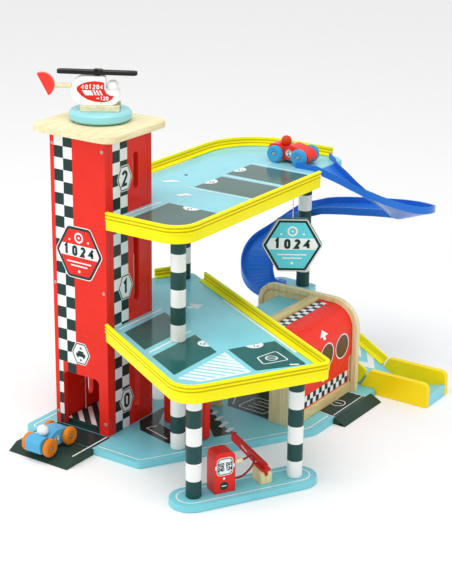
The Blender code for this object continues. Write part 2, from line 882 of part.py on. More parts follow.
def build_workshop(wood, turquoise, red):
    """Two arches with grooves, a ceiling between them and the rolling shutter."""
    low = BASE_TOP + GAP
    inner_near = ARCH_NEAR_Y + BOARD
    inner_far = ARCH_FAR_Y
    door_in = rounded([
        (72.0, low, 0.0),
        (72.0, 105.0, 12.0),
        (161.0, 105.0, 12.0),
        (161.0, low, 0.0),
    ])
    profile = [*arch_outline(), *door_in]

    # The groove keeps clear of the sheet's both layers.
    groove_run = arch_outline(GROOVE_INSET)
    groove = ribbon(groove_run, GAP + 0.3, -2.0 * SHEET - 2.0 * GAP - 0.6)
    groove = [(x, z if z > low + 1.0 else low + 12.0) for x, z in groove]
    for name, face, inward in (
        ("workshop_near_arch", inner_near, -GROOVE_DEPTH),
        ("workshop_far_arch", inner_far, GROOVE_DEPTH),
    ):
        start = face + inward
        end = face - inward
        plate_low = ARCH_NEAR_Y if inward < 0.0 else ARCH_FAR_Y
        plate = slab(name, wood, profile, plate_low, plate_low + BOARD, frame=FRONTAL)
        cutter = slab(
            name + "_groove", wood, groove, min(start, end), max(start, end), frame=FRONTAL,
        )
        boolean(plate, cutter, "DIFFERENCE")

    y0 = inner_near + GAP
    y1 = inner_far - GAP
    ceiling_top = 140.7
    ceiling = box_outline(66.0, ceiling_top - BOARD, 165.0, ceiling_top)
    slab("workshop_ceiling", turquoise, ceiling, y0, y1, frame=FRONTAL)

    # The sheet that stays: the upper front, the bend and the top.
    cx = ARCH_RIGHT - ARCH_FRONT_RADIUS
    cz = ARCH_TOP - ARCH_FRONT_RADIUS
    outer = ARCH_FRONT_RADIUS - GROOVE_INSET
    rail_top = 27.0
    step_z = rail_top + SHUTTER_TRAVEL + 2.0 * GAP
    tail_x = 130.0
    bend = [
        (cx + outer, step_z),
        *arc((cx, cz), outer, 0.0, 90.0, 8),
        (tail_x, cz + outer),
    ]
    in_groove = GROOVE_DEPTH - 0.6
    slab(
        "shutter_sheet", red, ribbon(bend, 0.0, -SHEET),
        inner_near - in_groove, inner_far + in_groove, frame=FRONTAL,
    )

    # Each rail carries a flat strip that lies just inside the sheet and slides past it.
    front_x = cx + outer - SHEET - GAP
    strip_top = step_z + 1.0
    rail_back = front_x - 5.0
    bottom_rail = [
        (rail_back, low + GAP),
        (cx + outer + 1.5, low + GAP),
        (cx + outer + 1.5, rail_top),
        (front_x, rail_top),
        (front_x, strip_top),
        (front_x - SHEET, strip_top),
        (front_x - SHEET, rail_top),
        (rail_back, rail_top),
    ]
    slab("shutter_bottom_rail", wood, bottom_rail, y0 + 0.5, y1 - 0.5, frame=FRONTAL)
    top_z = cz + outer
    under = top_z - 3.3
    rail_left = tail_x - 4.0
    strip_right = tail_x + SHUTTER_TRAVEL + 2.0
    top_rail = [
        (rail_left, under - SHEET),
        (strip_right, under - SHEET),
        (strip_right, under),
        (tail_x - GAP, under),
        (tail_x - GAP, top_z + GAP),
        (rail_left + 17.0, top_z + GAP),
        (rail_left + 17.0, top_z + 4.5),
        (rail_left, top_z + 4.5),
    ]
    slab("shutter_top_rail", wood, top_rail, y0 + 0.5, y1 - 0.5, frame=FRONTAL)


def build_platform(turquoise, red):
    """The raised platform inside the slide's lower turn, and the panel under it."""
    near = LOWER_TURN_CENTRE[1] - TURN_RADIUS + CHANNEL_WIDTH / 2.0 + 2.0 * GAP
    far = 476.0
    left = LOWER_TURN_CENTRE[0] - 12.5
    outline = rounded([
        (left, near, 12.0),
        (PLATFORM_RIGHT, near, 3.0),
        (PLATFORM_RIGHT, far, 10.0),
        (left, far, 12.0),
    ])
    slab("platform_board", turquoise, outline, PLATFORM_TOP - BOARD, PLATFORM_TOP)
    panel_near = near + 0.5
    panel = box_outline(left + 14.5, BASE_TOP + GAP, PLATFORM_RIGHT, PLATFORM_TOP - BOARD - GAP)
    slab("platform_support", red, panel, panel_near, panel_near + BOARD, frame=FRONTAL)


def channel_section(outer_rim, inner_rim, inner_reach):
    """The slide's section: walls at both sides of a floor that leans to the inner side."""
    reach = CHANNEL_WIDTH / 2.0
    lean = (outer_rim - inner_rim) / (reach + inner_reach)

    def at(side, up):
        return (side, outer_rim + lean * (side - reach) + up)

    return [
        at(reach, -CHANNEL_HEIGHT),
        at(reach, 0.0),
        at(reach - CHANNEL_WALL, 0.0),
        at(reach - CHANNEL_WALL, CHANNEL_WALL - CHANNEL_HEIGHT),
        at(CHANNEL_WALL - inner_reach, CHANNEL_WALL - CHANNEL_HEIGHT),
        at(CHANNEL_WALL - inner_reach, 0.0),
        at(-inner_reach, 0.0),
        at(-inner_reach, -CHANNEL_HEIGHT),
    ]


def channel_mesh(stations):
    """A channel through stations (x, y, outer rim, inner rim, inner reach)."""
    path = [(x, y, 0.0) for x, y, *rest in stations]
    sections = [channel_section(*rest) for x, y, *rest in stations]
    return swept_mesh(sections, path, inner_sides=(2, 3, 4))


def between(values, i):
    """The smooth value halfway from values[i] to values[i + 1]."""
    first = values[max(i - 1, 0)]
    last = values[min(i + 2, len(values) - 1)]
    return (9.0 * (values[i] + values[i + 1]) - first - last) / 16.0


def finer(heights):
    """The same turn with a station added halfway along each step."""
    angles = [row[0] for row in heights]
    outers = [row[1] for row in heights]
    inners = [row[2] for row in heights]
    rows = []
    for i in range(len(heights) - 1):
        rows.append(heights[i])
        middle = (angles[i] + angles[i + 1]) / 2.0
        rows.append((middle, between(outers, i), between(inners, i)))
    rows.append(heights[-1])
    return rows


def turn_stations(centre, heights):
    """Stations round a turn from (angle, outer rim, inner rim)."""
    stations = []
    half = CHANNEL_WIDTH / 2.0
    for angle, outer, inner in finer(heights):
        a = math.radians(angle)
        x = centre[0] + TURN_RADIUS * math.cos(a)
        y = centre[1] + TURN_RADIUS * math.sin(a)
        stations.append((x, y, outer, inner, half))
    return stations


def build_slide(blue):
    """The slide's two mouldings: the mouth with the first turn, and the way down to the exit."""
    half = CHANNEL_WIDTH / 2.0
    mouth_y = UPPER_TURN_CENTRE[1] - TURN_RADIUS
    first = DECK_2_MOUTH_X + GAP
    lean = 5.0
    upper = [
        (first, mouth_y, 352.0, 350.5, half + 8.0),
        (109.0, mouth_y, 350.6, 348.0, half + 3.0),
        (116.0, mouth_y, 349.0, 344.0, half),
        (131.0, mouth_y, 345.6, 334.5, half),
        (149.0, mouth_y, 341.0, 321.5, half),
        (167.0, mouth_y, 335.7, 310.5, half),
        (185.0, mouth_y, 330.7, 301.0, half),
    ]
    upper += turn_stations(UPPER_TURN_CENTRE, (
        (270.0, 326.6, 292.0),
        (285.0, 322.3, 289.0),
        (300.0, 317.5, 286.5),
        (315.0, 312.3, 284.5),
        (330.0, 307.0, 283.0),
        (345.0, 303.3, 281.8),
        (360.0, 300.2, 280.8),
        (375.0, 297.2, 279.8),
        (390.0, 292.6, 279.0),
        (405.0, 288.0, 278.3),
        (420.0, 285.0, 277.6),
        (435.0, 283.2, 277.0),
        (450.0, 281.8, 281.8 - lean),
    ))
    back_y = UPPER_TURN_CENTRE[1] + TURN_RADIUS
    upper.append((SLIDE_SEAM_X + GAP, back_y, 281.6, 281.6 - lean, half))
    top = add_object("slide_upper", channel_mesh(upper), blue)

    # Two low walls on the deck lead into the mouth.
    lead_low = DECK_2_TOP + GAP
    lead_high = lead_low + 8.0
    wall_y = mouth_y - half
    near_lead = slab(
        "slide_near_lead", blue,
        [(68.0, wall_y - 1.0), (106.0, wall_y), (106.0, wall_y + 2.0), (68.0, wall_y + 1.0)],
        lead_low, lead_high,
    )
    boolean(top, near_lead, "UNION")
    far_y = mouth_y + half + 8.0
    far_lead = slab(
        "slide_far_lead", blue,
        [(106.0, far_y - 4.5), (106.0, far_y - 2.0), (82.0, far_y + 22.0), (80.0, far_y + 20.0)],
        lead_low, lead_high,
    )
    boolean(top, far_lead, "UNION")

    lower = [
        (SLIDE_SEAM_X, back_y, 281.6, 281.6 - lean, half),
        (187.0, back_y, 280.3, 280.3 - lean, half),
        (163.0, back_y, 277.6, 277.6 - lean, half),
        (140.0, back_y, 274.2, 274.2 - lean, half),
        (115.0, back_y, 271.2, 271.2 - lean, half),
        (90.0, back_y, 267.4, 267.4 - lean, half),
        (70.0, back_y, 263.8, 263.8 - lean, half),
        (50.0, back_y, 259.0, 251.0, half),
        (30.0, back_y, 251.5, 243.5, half),
    ]
    lower += turn_stations(LOWER_TURN_CENTRE, (
        (90.0, 241.8, 236.0),
        (105.0, 231.0, 227.0),
        (120.0, 217.5, 215.5),
        (135.0, 204.5, 203.5),
        (150.0, 195.0, 194.5),
        (165.0, 188.0, 187.0),
        (180.0, 179.0, 177.5),
        (195.0, 168.5, 166.5),
        (210.0, 157.5, 155.0),
        (225.0, 147.5, 146.0),
        (240.0, 138.5, 138.0),
        (255.0, 131.8, 131.5),
        (270.0, 127.5, 127.5),
    ))
    front_y = LOWER_TURN_CENTRE[1] - TURN_RADIUS
    lower += [
        (25.0, front_y, 124.8, 124.8, half),
        (48.0, front_y, 120.5, 120.5, half),
        (PLATFORM_RIGHT - GAP, front_y, 115.8, 115.8, half),
    ]
    bottom = add_object("slide_lower", channel_mesh(lower), blue)
    wall_far = front_y + half
    flange = slab(
        "slide_flange", blue,
        rounded([
            (4.0, wall_far - 1.6, 0.0),
            (20.0, wall_far - 1.6, 0.0),
            (17.0, wall_far + 12.0, 4.0),
            (4.0, wall_far + 12.0, 4.0),
        ]),
        PLATFORM_TOP + GAP, PLATFORM_TOP + GAP + 1.8,
    )
    boolean(bottom, flange, "UNION")


def build_exit(turquoise, yellow, tray_yellow):
    """The sloping exit ramp with its kerbs, and the tray at its foot."""
    near = 385.0
    far = 457.0
    slope = math.atan(0.5625)
    foot_x = 228.0
    foot_z = 14.6
    thickness = 3.6
    top_x = PLATFORM_RIGHT + GAP + thickness * math.sin(slope)
    frame = Matrix((
        (-math.cos(slope), 0, math.sin(slope), foot_x),
        (0, 1, 0, 0),
        (math.sin(slope), 0, math.cos(slope), foot_z),
        (0, 0, 0, 1),
    ))
    length = (foot_x - top_x) / math.cos(slope)
    wide_near = near + KERB_WALL + 2.0 * GAP
    wide_far = far - KERB_WALL - 2.0 * GAP
    neck = 20.0
    outline = [
        (0.0, near + BOARD + GAP),
        (neck, near + BOARD + GAP),
        (neck, wide_near),
        (length, wide_near),
        (length, wide_far),
        (neck, wide_far),
        (neck, far - BOARD - GAP),
        (0.0, far - BOARD - GAP),
    ]
    slab("exit_ramp", turquoise, outline, -thickness, 0.0, frame=frame)

    # The kerbs stand square to the ramp and stop short of the tray's walls.
    foot = 21.5
    head = (foot_x - PLATFORM_RIGHT - GAP) / math.cos(slope) - KERB_BELOW * math.tan(slope)
    for name, edge, side in (
        ("exit_near_kerb", wide_near, -1.0),
        ("exit_far_kerb", wide_far, 1.0),
    ):
        bm = bmesh.new()
        rings = []
        for along in (foot, head):
            ring = [frame @ Vector((along, edge + side * s, up)) for s, up in kerb_section()]
            rings.append([bm.verts.new(point) for point in ring])
        count = len(rings[0])
        for k in range(count):
            after = (k + 1) % count
            bm.faces.new((rings[0][k], rings[0][after], rings[1][after], rings[1][k]))
        for ring in rings:
            edges = [bm.edges.get((ring[k - 1], ring[k])) for k in range(count)]
            bmesh.ops.triangle_fill(bm, use_beauty=True, use_dissolve=False, edges=edges)
        add_object(name, bm, yellow)

    base_edge = 228.7
    end = 323.0
    floor = [
        (base_edge + GAP, 0.0),
        (end, 0.0),
        (end, 19.0),
        (310.0, 15.0),
        (296.0, 11.4),
        (282.0, 9.0),
        (262.0, 8.8),
        (250.0, 9.8),
        (238.0, 12.0),
        (base_edge + GAP, 14.4),
    ]
    slab("tray_floor", turquoise, floor, near + BOARD + GAP, far - BOARD - GAP, frame=FRONTAL)
    wall = rounded([
        (208.0, BASE_TOP + GAP, 0.0),
        (base_edge + GAP, BASE_TOP + GAP, 0.0),
        (base_edge + GAP, 0.0, 0.0),
        (end, 0.0, 0.0),
        (end, 38.5, 10.0),
        (221.0, 38.5, 3.0),
        (207.0, 12.0, 0.0),
    ])
    slab("tray_near_wall", tray_yellow, wall, near, near + BOARD, frame=FRONTAL)
    slab("tray_far_wall", tray_yellow, wall, far - BOARD, far, frame=FRONTAL)


def build_helicopter(white, wood, red, black):
    """A block body with its pilot, two skids, a tail and a turning rotor."""
    place = Matrix.Translation((SHAFT_X, SHAFT_Y, HELIPAD_TOP)) @ Matrix.Rotation(HEADING, 4, "Z")
    upright = place @ FRONTAL
    skid_height = 8.0
    body_low = skid_height + GAP
    body_high = 48.0
    half = 14.0
    for name, side in (("near", -1.0), ("far", 1.0)):
        centre = side * 15.5
        outline = box_outline(-27.0, GAP, 28.0, skid_height)
        bm = slab_mesh(outline, centre - 4.0, centre + 4.0, frame=upright)
        add_object(f"helicopter_{name}_skid", bm, wood)

    outline = rounded([
        (-39.5, body_low, 18.0),
        (27.5, body_low, 12.0),
        (27.5, 28.5, 3.0),
        (8.4, 28.5, 6.0),
        (8.4, body_high, 3.0),
        (-39.5, body_high, 19.0),
    ])
    body = slab("helicopter_body", white, outline, -half, half, frame=upright)
    pilot = turned(
        "helicopter_pilot", wood, ball(8.8), place @ Matrix.Translation((18.0, 0.0, 33.0)), 16,
    )
    boolean(body, pilot, "UNION")
    pin_radius = 2.0
    pin_depth = 10.0
    hub_x = -4.0
    bore = turned(
        "rotor_bore", white, rod(pin_radius + GAP, pin_depth + 4.0),
        place @ Matrix.Translation((hub_x, 0.0, body_high - pin_depth)), 12,
    )
    boolean(body, bore, "DIFFERENCE")

    boom_z = 33.0
    boom_tail = -63.5
    boom_start = place @ Vector((boom_tail, 0.0, boom_z))
    nose_way = (math.cos(HEADING), math.sin(HEADING), 0.0)
    turned(
        "helicopter_boom", wood, rod(3.5, -boom_tail - 39.5 - GAP),
        axis_frame(boom_start, nose_way), 16,
    )
    fin_radius = 17.4
    fin_turn = 27.0
    fin_centre = (boom_tail - GAP - fin_radius, boom_z + 1.0)
    fin = arc(fin_centre, fin_radius, fin_turn - 86.0, fin_turn + 86.0, 14)
    slab("helicopter_fin", red, fin, -4.5, 4.5, frame=upright)

    rotor_z = body_high + 2.0
    rotor_place = place @ Matrix.Translation((hub_x, 0.0, 0.0))
    rotor_place = rotor_place @ Matrix.Rotation(math.radians(-5.5), 4, "Z")
    blade = rounded([(-57.0, -7.0, 6.5), (57.0, -7.0, 6.5), (57.0, 7.0, 6.5), (-57.0, 7.0, 6.5)], 30.0)
    hub_at = rotor_place @ Vector((0.0, 0.0, rotor_z))
    rotor = slab(
        "helicopter_rotor", black, blade, rotor_z, rotor_z + 5.0, frame=rotor_place, pivot=hub_at,
    )
    hub = [
        (0.0, body_high - pin_depth + GAP),
        (pin_radius, body_high - pin_depth + GAP),
        (pin_radius, body_high + GAP),
        (4.5, body_high + GAP),
        (4.5, rotor_z + 7.0),
        (0.0, rotor_z + 7.0),
    ]
    boolean(rotor, turned("rotor_hub", wood, hub, rotor_place, 12), "UNION")


def build_sign(turquoise, cord_white):
    """A hexagon that hangs on a cord under the upper deck's right kerb."""
    hang = Vector((132.0, 285.0, DECK_2_TOP - KERB_BELOW - GAP))
    along = Vector((math.cos(HEADING), math.sin(HEADING), 0.0))
    across = Vector((-along.y, along.x, 0.0))
    top_z = 299.0
    centre = Vector((hang.x, hang.y, top_z - 41.5))
    frame = Matrix((
        (along.x, 0, across.x, centre.x),
        (along.y, 0, across.y, centre.y),
        (0, 1, 0, centre.z),
        (0, 0, 0, 1),
    ))
    corner = 46.0
    top_half = 22.0
    height = 41.5
    outline = rounded([
        (-corner, 0.0, 4.0),
        (-top_half, -height, 4.0),
        (top_half, -height, 4.0),
        (corner, 0.0, 4.0),
        (top_half, height, 4.0),
        (-top_half, height, 4.0),
    ], 20.0)
    half = BOARD / 2.0
    slab("sign_board", turquoise, outline, -half, half, frame=frame, pivot=hang)
    tube("sign_cord", cord_white, [hang, (hang.x, hang.y, top_z + GAP)], CORD_RADIUS)


def build_car(name, paint_body, paint_wheels, place):
    """A block car with its driver and two sets of wheels on their axles."""
    upright = place @ FRONTAL
    half = CAR_BODY_WIDTH / 2.0
    axle = WHEEL_RADIUS
    seat = (-13.0, 33.0)
    ball_radius = 8.4
    outline = rounded([
        (-37.5, 6.0, 5.0),
        (33.0, 6.0, 5.0),
        (38.0, 13.0, 6.0),
        (30.0, 24.0, 14.0),
        (2.0, 30.5, 10.0),
        (-6.0, 27.0, 3.0),
        (-14.0, 24.0, 4.0),
        (-21.0, 29.0, 2.0),
        (-37.5, 28.0, 7.0),
    ], 30.0)
    bores = [circle((side * WHEEL_BASE / 2.0, axle), AXLE_RADIUS + GAP, 12) for side in (-1, 1)]
    bm = slab_mesh(outline, -half, half, bores, upright)
    body = add_object(f"{name}_body", bm, paint_body)
    driver_at = place @ Vector((seat[0], 0.0, seat[1]))
    driver = turned(
        f"{name}_driver", paint_body, ball(ball_radius), Matrix.Translation(driver_at), 16,
    )
    boolean(body, driver, "UNION")

    reach = CAR_WIDTH / 2.0
    inner = half + 1.0
    side_profile = [
        (0.0, reach - 1.2),
        (4.0, reach - 1.2),
        (5.0, reach - 0.3),
        (10.5, reach),
        (13.2, reach - 1.6),
        (WHEEL_RADIUS, reach - 4.5),
        (13.2, inner + 1.2),
        (10.5, inner),
        (AXLE_RADIUS, inner),
    ]
    profile = [(r, -x) for r, x in side_profile] + side_profile[::-1]
    for label, side in (("front", 1.0), ("rear", -1.0)):
        centre = place @ Vector((side * WHEEL_BASE / 2.0, 0.0, axle))
        across = place.to_3x3() @ Vector((0.0, 1.0, 0.0))
        turned(
            f"{name}_{label}_wheels", paint_wheels, profile,
            axis_frame(centre, across), 20, centre,
        )


def build_cars(blue, orange, car_red, sky):
    """The blue car drives up the entry ramp and the red one stands on the upper deck."""
    pitch = math.radians(3.2)
    rear = Vector((-50.0, -96.2, 21.35))
    blue_place = (
        Matrix.Translation(rear)
        @ Matrix.Rotation(math.radians(90.0), 4, "Z")
        @ Matrix.Rotation(-pitch, 4, "Y")
        @ Matrix.Translation((WHEEL_BASE / 2.0, 0.0, -WHEEL_RADIUS))
    )
    build_car("blue_car", blue, orange, blue_place)
    red_place = Matrix.Translation((46.8, 420.5, DECK_2_TOP + GAP))
    build_car("red_car", car_red, sky, red_place)


def main():
    clear_scene()
    base_blue = paint("base_turquoise", (0.12, 0.5, 0.56), 0.35)
    deck_blue = paint("deck_turquoise", (0.34, 0.72, 0.78), 0.3)
    pad_blue = paint("helipad_turquoise", (0.4, 0.78, 0.82), 0.4)
    dark = paint("dark_green", (0.03, 0.09, 0.09), 0.4)
    red = paint("tower_red", (0.75, 0.03, 0.02), 0.4)
    wood = paint("bare_wood", (0.83, 0.73, 0.48), 0.6)
    white = paint("white_paint", (0.85, 0.86, 0.84), 0.45)
    yellow = paint("kerb_yellow", (1.0, 0.9, 0.03), 0.35)
    tray_yellow = paint("tray_yellow", (0.95, 0.7, 0.01), 0.4)
    rubber = paint("hose_rubber", (0.30, 0.04, 0.04), 0.5)
    cord_white = paint("white_cord", (0.85, 0.85, 0.82), 0.8)
    shutter_red = paint("shutter_red", (0.85, 0.06, 0.03), 0.4)
    slide_blue = paint("slide_blue", (0.04, 0.2, 0.7), 0.35)
    black = paint("rotor_black", (0.03, 0.03, 0.03), 0.5)
    blue = paint("car_blue", (0.1, 0.42, 0.7), 0.35)
    orange = paint("wheel_orange", (0.75, 0.22, 0.02), 0.35)
    car_red = paint("car_red", (0.85, 0.05, 0.03), 0.35)
    sky = paint("wheel_blue", (0.06, 0.36, 0.63), 0.35)

    build_floor(base_blue, dark)
    build_tower(red, wood)
    build_lift(pad_blue, dark, wood, cord_white)
    build_deck_1(deck_blue, yellow, red)
    build_deck_2(deck_blue, yellow)
    build_posts(white, dark)
    build_pump(red, wood, rubber)
    build_barrier(wood, red)
    build_workshop(wood, deck_blue, shutter_red)
    build_platform(deck_blue, red)
    build_slide(slide_blue)
    build_exit(deck_blue, yellow, tray_yellow)
    build_helicopter(white, wood, red, black)
    build_sign(deck_blue, cord_white)
    build_cars(blue, orange, car_red, sky)


main()
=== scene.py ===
import math

import bmesh
import bpy
from mathutils import Matrix, Vector


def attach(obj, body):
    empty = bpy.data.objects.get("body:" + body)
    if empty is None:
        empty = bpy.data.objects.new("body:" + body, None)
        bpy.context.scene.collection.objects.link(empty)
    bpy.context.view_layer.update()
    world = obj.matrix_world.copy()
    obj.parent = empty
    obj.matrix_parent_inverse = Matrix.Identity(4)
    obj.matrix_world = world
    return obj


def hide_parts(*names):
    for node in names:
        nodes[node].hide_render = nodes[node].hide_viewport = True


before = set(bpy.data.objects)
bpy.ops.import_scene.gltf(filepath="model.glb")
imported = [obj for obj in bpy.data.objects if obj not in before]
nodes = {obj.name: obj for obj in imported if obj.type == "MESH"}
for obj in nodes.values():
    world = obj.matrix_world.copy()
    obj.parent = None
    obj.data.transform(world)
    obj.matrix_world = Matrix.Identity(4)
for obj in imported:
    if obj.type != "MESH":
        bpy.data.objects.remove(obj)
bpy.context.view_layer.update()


# ---- Camera
# The camera stands right of and above the garage, at the photograph's angle.
# Its lens gives the photograph's frame of 452 by 584.

focal_pixels = 1557.66
frame_height = 584
camera_data = bpy.data.cameras.new("photo_camera")
camera_data.sensor_width = 36
camera_data.lens = camera_data.sensor_width * focal_pixels / frame_height
camera_data.clip_end = 30
camera = bpy.data.objects.new("photo_camera", camera_data)
camera.location = (1.29647, -1.63051, 0.99365)
camera.rotation_euler = [math.radians(angle) for angle in (70.0229, -0.7192, 34.0911)]
bpy.context.collection.objects.link(camera)
bpy.context.scene.camera = camera


# ---- Fuel hose
# A thin elastic cord in dark red, pressed into the pump's side.
# It loops up past the barrier's block and ends in the wooden nozzle.

MM = 0.001


def shade(red, green, blue):
    """A colour as it is read off a screen, in the units that the shaders use."""
    parts = [value / 255 for value in (red, green, blue)]
    return [v / 12.92 if v <= 0.04045 else ((v + 0.055) / 1.055) ** 2.4 for v in parts]


def open_group(name, inputs, outputs):
    """An empty node group, with the outputs of its start and the inputs of its end."""
    group = bpy.data.node_groups.new(name, "ShaderNodeTree")
    for way, sockets in (("INPUT", inputs), ("OUTPUT", outputs)):
        for label, kind in sockets.items():
            group.interface.new_socket(name=label, in_out=way, socket_type="NodeSocket" + kind)
    start, end = group.nodes.new("NodeGroupInput"), group.nodes.new("NodeGroupOutput")
    return group, start.outputs, end.inputs


def feed(value, socket):
    """Gives an input a value, or links another node's output to it."""
    if isinstance(value, bpy.types.NodeSocket):
        socket.id_data.links.new(value, socket)
    else:
        socket.default_value = value


def node(tree, kind, put=None, give=0, **settings):
    """An output of a new shader node; put maps its inputs to values or outputs."""
    new = tree.nodes.new("ShaderNode" + kind)
    for key, value in settings.items():
        setattr(new, key, value)
    for entry, value in (put or {}).items():
        feed(value, new.inputs[entry])
    return new.outputs[give]


def maths(tree, operation, *terms, **settings):
    """The output of a calculation on values and outputs."""
    return node(tree, "Math", dict(enumerate(terms)), operation=operation, **settings)


def sprayed_coat():
    """The slow changes of shade, the orange peel and the worn gloss of a coat of lacquer or ink."""
    group, given, made = open_group(
        "sprayed_coat",
        {"Colour": "Color", "Change": "Float", "Roughness": "Float"},
        {"Colour": "Color", "Roughness": "Float", "Height": "Float"},
    )
    place = node(group, "TexCoord", give="Object")
    slow, fine, rub = (
        node(group, "TexNoise", {"Vector": place, "Scale": scale, "Detail": detail})
        for scale, detail in ((17, 3), (650, 2), (60, 4))
    )
    swing = node(group, "MapRange", {
        "Value": slow, "From Min": 0.3, "From Max": 0.7,
        "To Min": maths(group, "SUBTRACT", 1, given["Change"]),
        "To Max": maths(group, "ADD", 1, given["Change"]),
    })
    worn = node(group, "MapRange", {
        "Value": rub, "From Min": 0.35, "From Max": 0.75, "To Min": -0.03, "To Max": 0.08,
    })
    feed(node(group, "HueSaturation", {"Color": given["Colour"], "Value": swing}), made["Colour"])
    feed(maths(group, "ADD", worn, given["Roughness"], use_clamp=True), made["Roughness"])
    feed(fine, made["Height"])
    return group


sprayed = sprayed_coat()


def surface(name, colour, group, specular, relief, depth):
    """A material whose colour, roughness and relief come from a group's node named skin."""
    material = bpy.data.materials.new(name)
    material.use_nodes = True
    material.diffuse_color = (*shade(*colour), 1)
    tree = material.node_tree
    shader = tree.nodes["Principled BSDF"]
    shader.inputs["Specular IOR Level"].default_value = specular
    skin = node(tree, "Group", node_tree=group).node
    skin.name = "skin"
    bump = {"Strength": relief, "Distance": depth, "Height": skin.outputs["Height"]}
    feed(skin.outputs["Colour"], shader.inputs["Base Color"])
    feed(skin.outputs["Roughness"], shader.inputs["Roughness"])
    feed(node(tree, "Bump", bump), shader.inputs["Normal"])
    return material, shader, skin


def coated(name, colour, roughness=0.28, change=0.05, peel=0.05, coat=0):
    """A painted, printed or moulded finish."""
    material, shader, skin = surface(name, colour, sprayed, 0.12, peel, 0.0004)
    shader.inputs["Coat Weight"].default_value = coat
    shader.inputs["Coat Roughness"].default_value = 0.12
    skin.inputs["Colour"].default_value = (*shade(*colour), 1)
    skin.inputs["Change"].default_value = change
    skin.inputs["Roughness"].default_value = roughness
    return material


def smooth_line(points, steps):
    """Points of a smooth curve through a route's own points."""
    line = []
    last = len(points) - 1
    for i in range(last):
        p0, p1, p2, p3 = (
            Vector(points[min(max(k, 0), last)]) for k in (i - 1, i, i + 1, i + 2)
        )
        for k in range(steps):
            t = k / steps
            even = 2 * p1 + (2 * p0 - 5 * p1 + 4 * p2 - p3) * t * t
            odd = (p2 - p0) * t + (3 * p1 - p0 - 3 * p2 + p3) * t ** 3
            line.append((even + odd) / 2)
    line.append(Vector(points[last]))
    return line


def cord_curve(name, points, radius, material):
    """A round cord along points in millimetres."""
    curve = bpy.data.curves.new(name, "CURVE")
    curve.dimensions = "3D"
    curve.bevel_depth = radius * MM
    curve.bevel_resolution = 4
    curve.use_fill_caps = True
    spline = curve.splines.new("POLY")
    spline.points.add(len(points) - 1)
    for knot, point in zip(spline.points, points):
        knot.co = (*(Vector(point) * MM), 1)
    curve.materials.append(material)
    new = bpy.data.objects.new(name, curve)
    bpy.context.collection.objects.link(new)
    return new


# The lower deck, the pump and the barrier are turned: lane_u runs along them, lane_n across.
lane_u = Vector((0.5, math.sqrt(3) / 2, 0))
lane_n = Vector((math.sqrt(3) / 2, -0.5, 0))
hose_across = 222.5
hose_points = [
    hose_across * lane_n + along * lane_u + Vector((0, 0, height))
    for along, height in (
        (94.3, 25), (101, 24.8), (108, 26.3), (115, 30.5), (121.5, 37), (125.5, 44),
        (126, 50), (122.5, 54), (117, 53.6), (110.8, 51.4), (107.6, 51),
    )
]
hose_line = smooth_line(hose_points, 6)
hose_finish = coated("hose_dark_red", (140, 34, 34), roughness=0.5, change=0.08, peel=0.15)
hose = cord_curve("fuel_hose", hose_line, 1.35, hose_finish)
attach(hose, "nozzle")
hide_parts("pump_hose")


# ---- Studio
# A pale sweep of paper under even, soft light from above and in front.
# The lamps are large, so shadows stay faint.

paper = coated("studio_paper", (250, 250, 250), roughness=0.8, change=0.005, peel=0)
bpy.ops.mesh.primitive_plane_add(size=14, location=(0, 0, -0.0004))
floor = bpy.context.object
floor.name = "studio_floor"
floor.data.materials.append(paper)

world = bpy.data.worlds.new("studio_air")
world.use_nodes = True
world.node_tree.nodes["Background"].inputs["Color"].default_value = (1, 1, 1, 1)
world.node_tree.nodes["Background"].inputs["Strength"].default_value = 0.86
bpy.context.scene.world = world
bpy.context.scene.view_settings.view_transform = "Standard"


def lamp(name, place, power, size):
    """A square soft box aimed at the garage."""
    garage_middle = Vector((0.1, 0.15, 0.25))
    data = bpy.data.lights.new(name, "AREA")
    data.energy = power
    data.size = size
    new = bpy.data.objects.new(name, data)
    new.location = place
    new.rotation_euler = (garage_middle - Vector(place)).to_track_quat("-Z", "Y").to_euler()
    bpy.context.collection.objects.link(new)


lamp("overhead_softbox", (0.3, -0.6, 2.4), 22, 1.6)
lamp("left_softbox", (-1.6, -2, 1.5), 12, 1.2)


# ---- Base board
# A sheet of board with a turquoise print on top and a painted edge, under the whole garage.
# White lines, dark bays and a zebra crossing are printed on it.

base_ink = coated("base_turquoise", (128, 208, 220), roughness=0.2, coat=0.105)
white_ink = coated("white_print", (240, 244, 244), roughness=0.24, change=0.02)
dark_ink = coated("dark_green_print", (30, 58, 56), roughness=0.16, change=0.08, coat=0.12)


def dress(name, material, edge=0.5):
    """Gives a CAD part its finish, and rounds its edges a little for the light."""
    part = nodes[name]
    part.material_slots[0].material = material
    if "custom_normal" in part.data.attributes:
        part.data.attributes.remove(part.data.attributes["custom_normal"])
    for face in part.data.polygons:
        face.use_smooth = True
    weld = part.modifiers.new("weld", "WELD")
    weld.merge_threshold = 0.00001
    soft = part.modifiers.new("soft_edge", "BEVEL")
    soft.width = edge * MM
    soft.segments = 2
    soft.limit_method = "ANGLE"
    soft.angle_limit = math.radians(33)
    soft.harden_normals = True


def mitres(points, closed=False):
    """The sideways step at each point of a line that keeps an even distance from the line."""
    count = len(points)
    steps = []
    for i, point in enumerate(points):
        ways = []
        if closed or i > 0:
            ways.append((point - points[i - 1]).normalized())
        if closed or i < count - 1:
            ways.append((points[(i + 1) % count] - point).normalized())
        normals = [Vector((-way.y, way.x)) for way in ways]
        middle = sum(normals, Vector((0, 0))).normalized()
        steps.append(middle / max(middle.dot(normals[0]), 0.3))
    return steps


def stroke(points, width, closed=False):
    """A line of even width as quads that meet at its corners."""
    points = [Vector(point) for point in points]
    half = width / 2
    sides = [(p + step * half, p - step * half) for p, step in zip(points, mitres(points, closed))]
    after = sides[1:] + sides[:1] if closed else sides[1:]
    return [[one[0], one[1], two[1], two[0]] for one, two in zip(sides, after)]


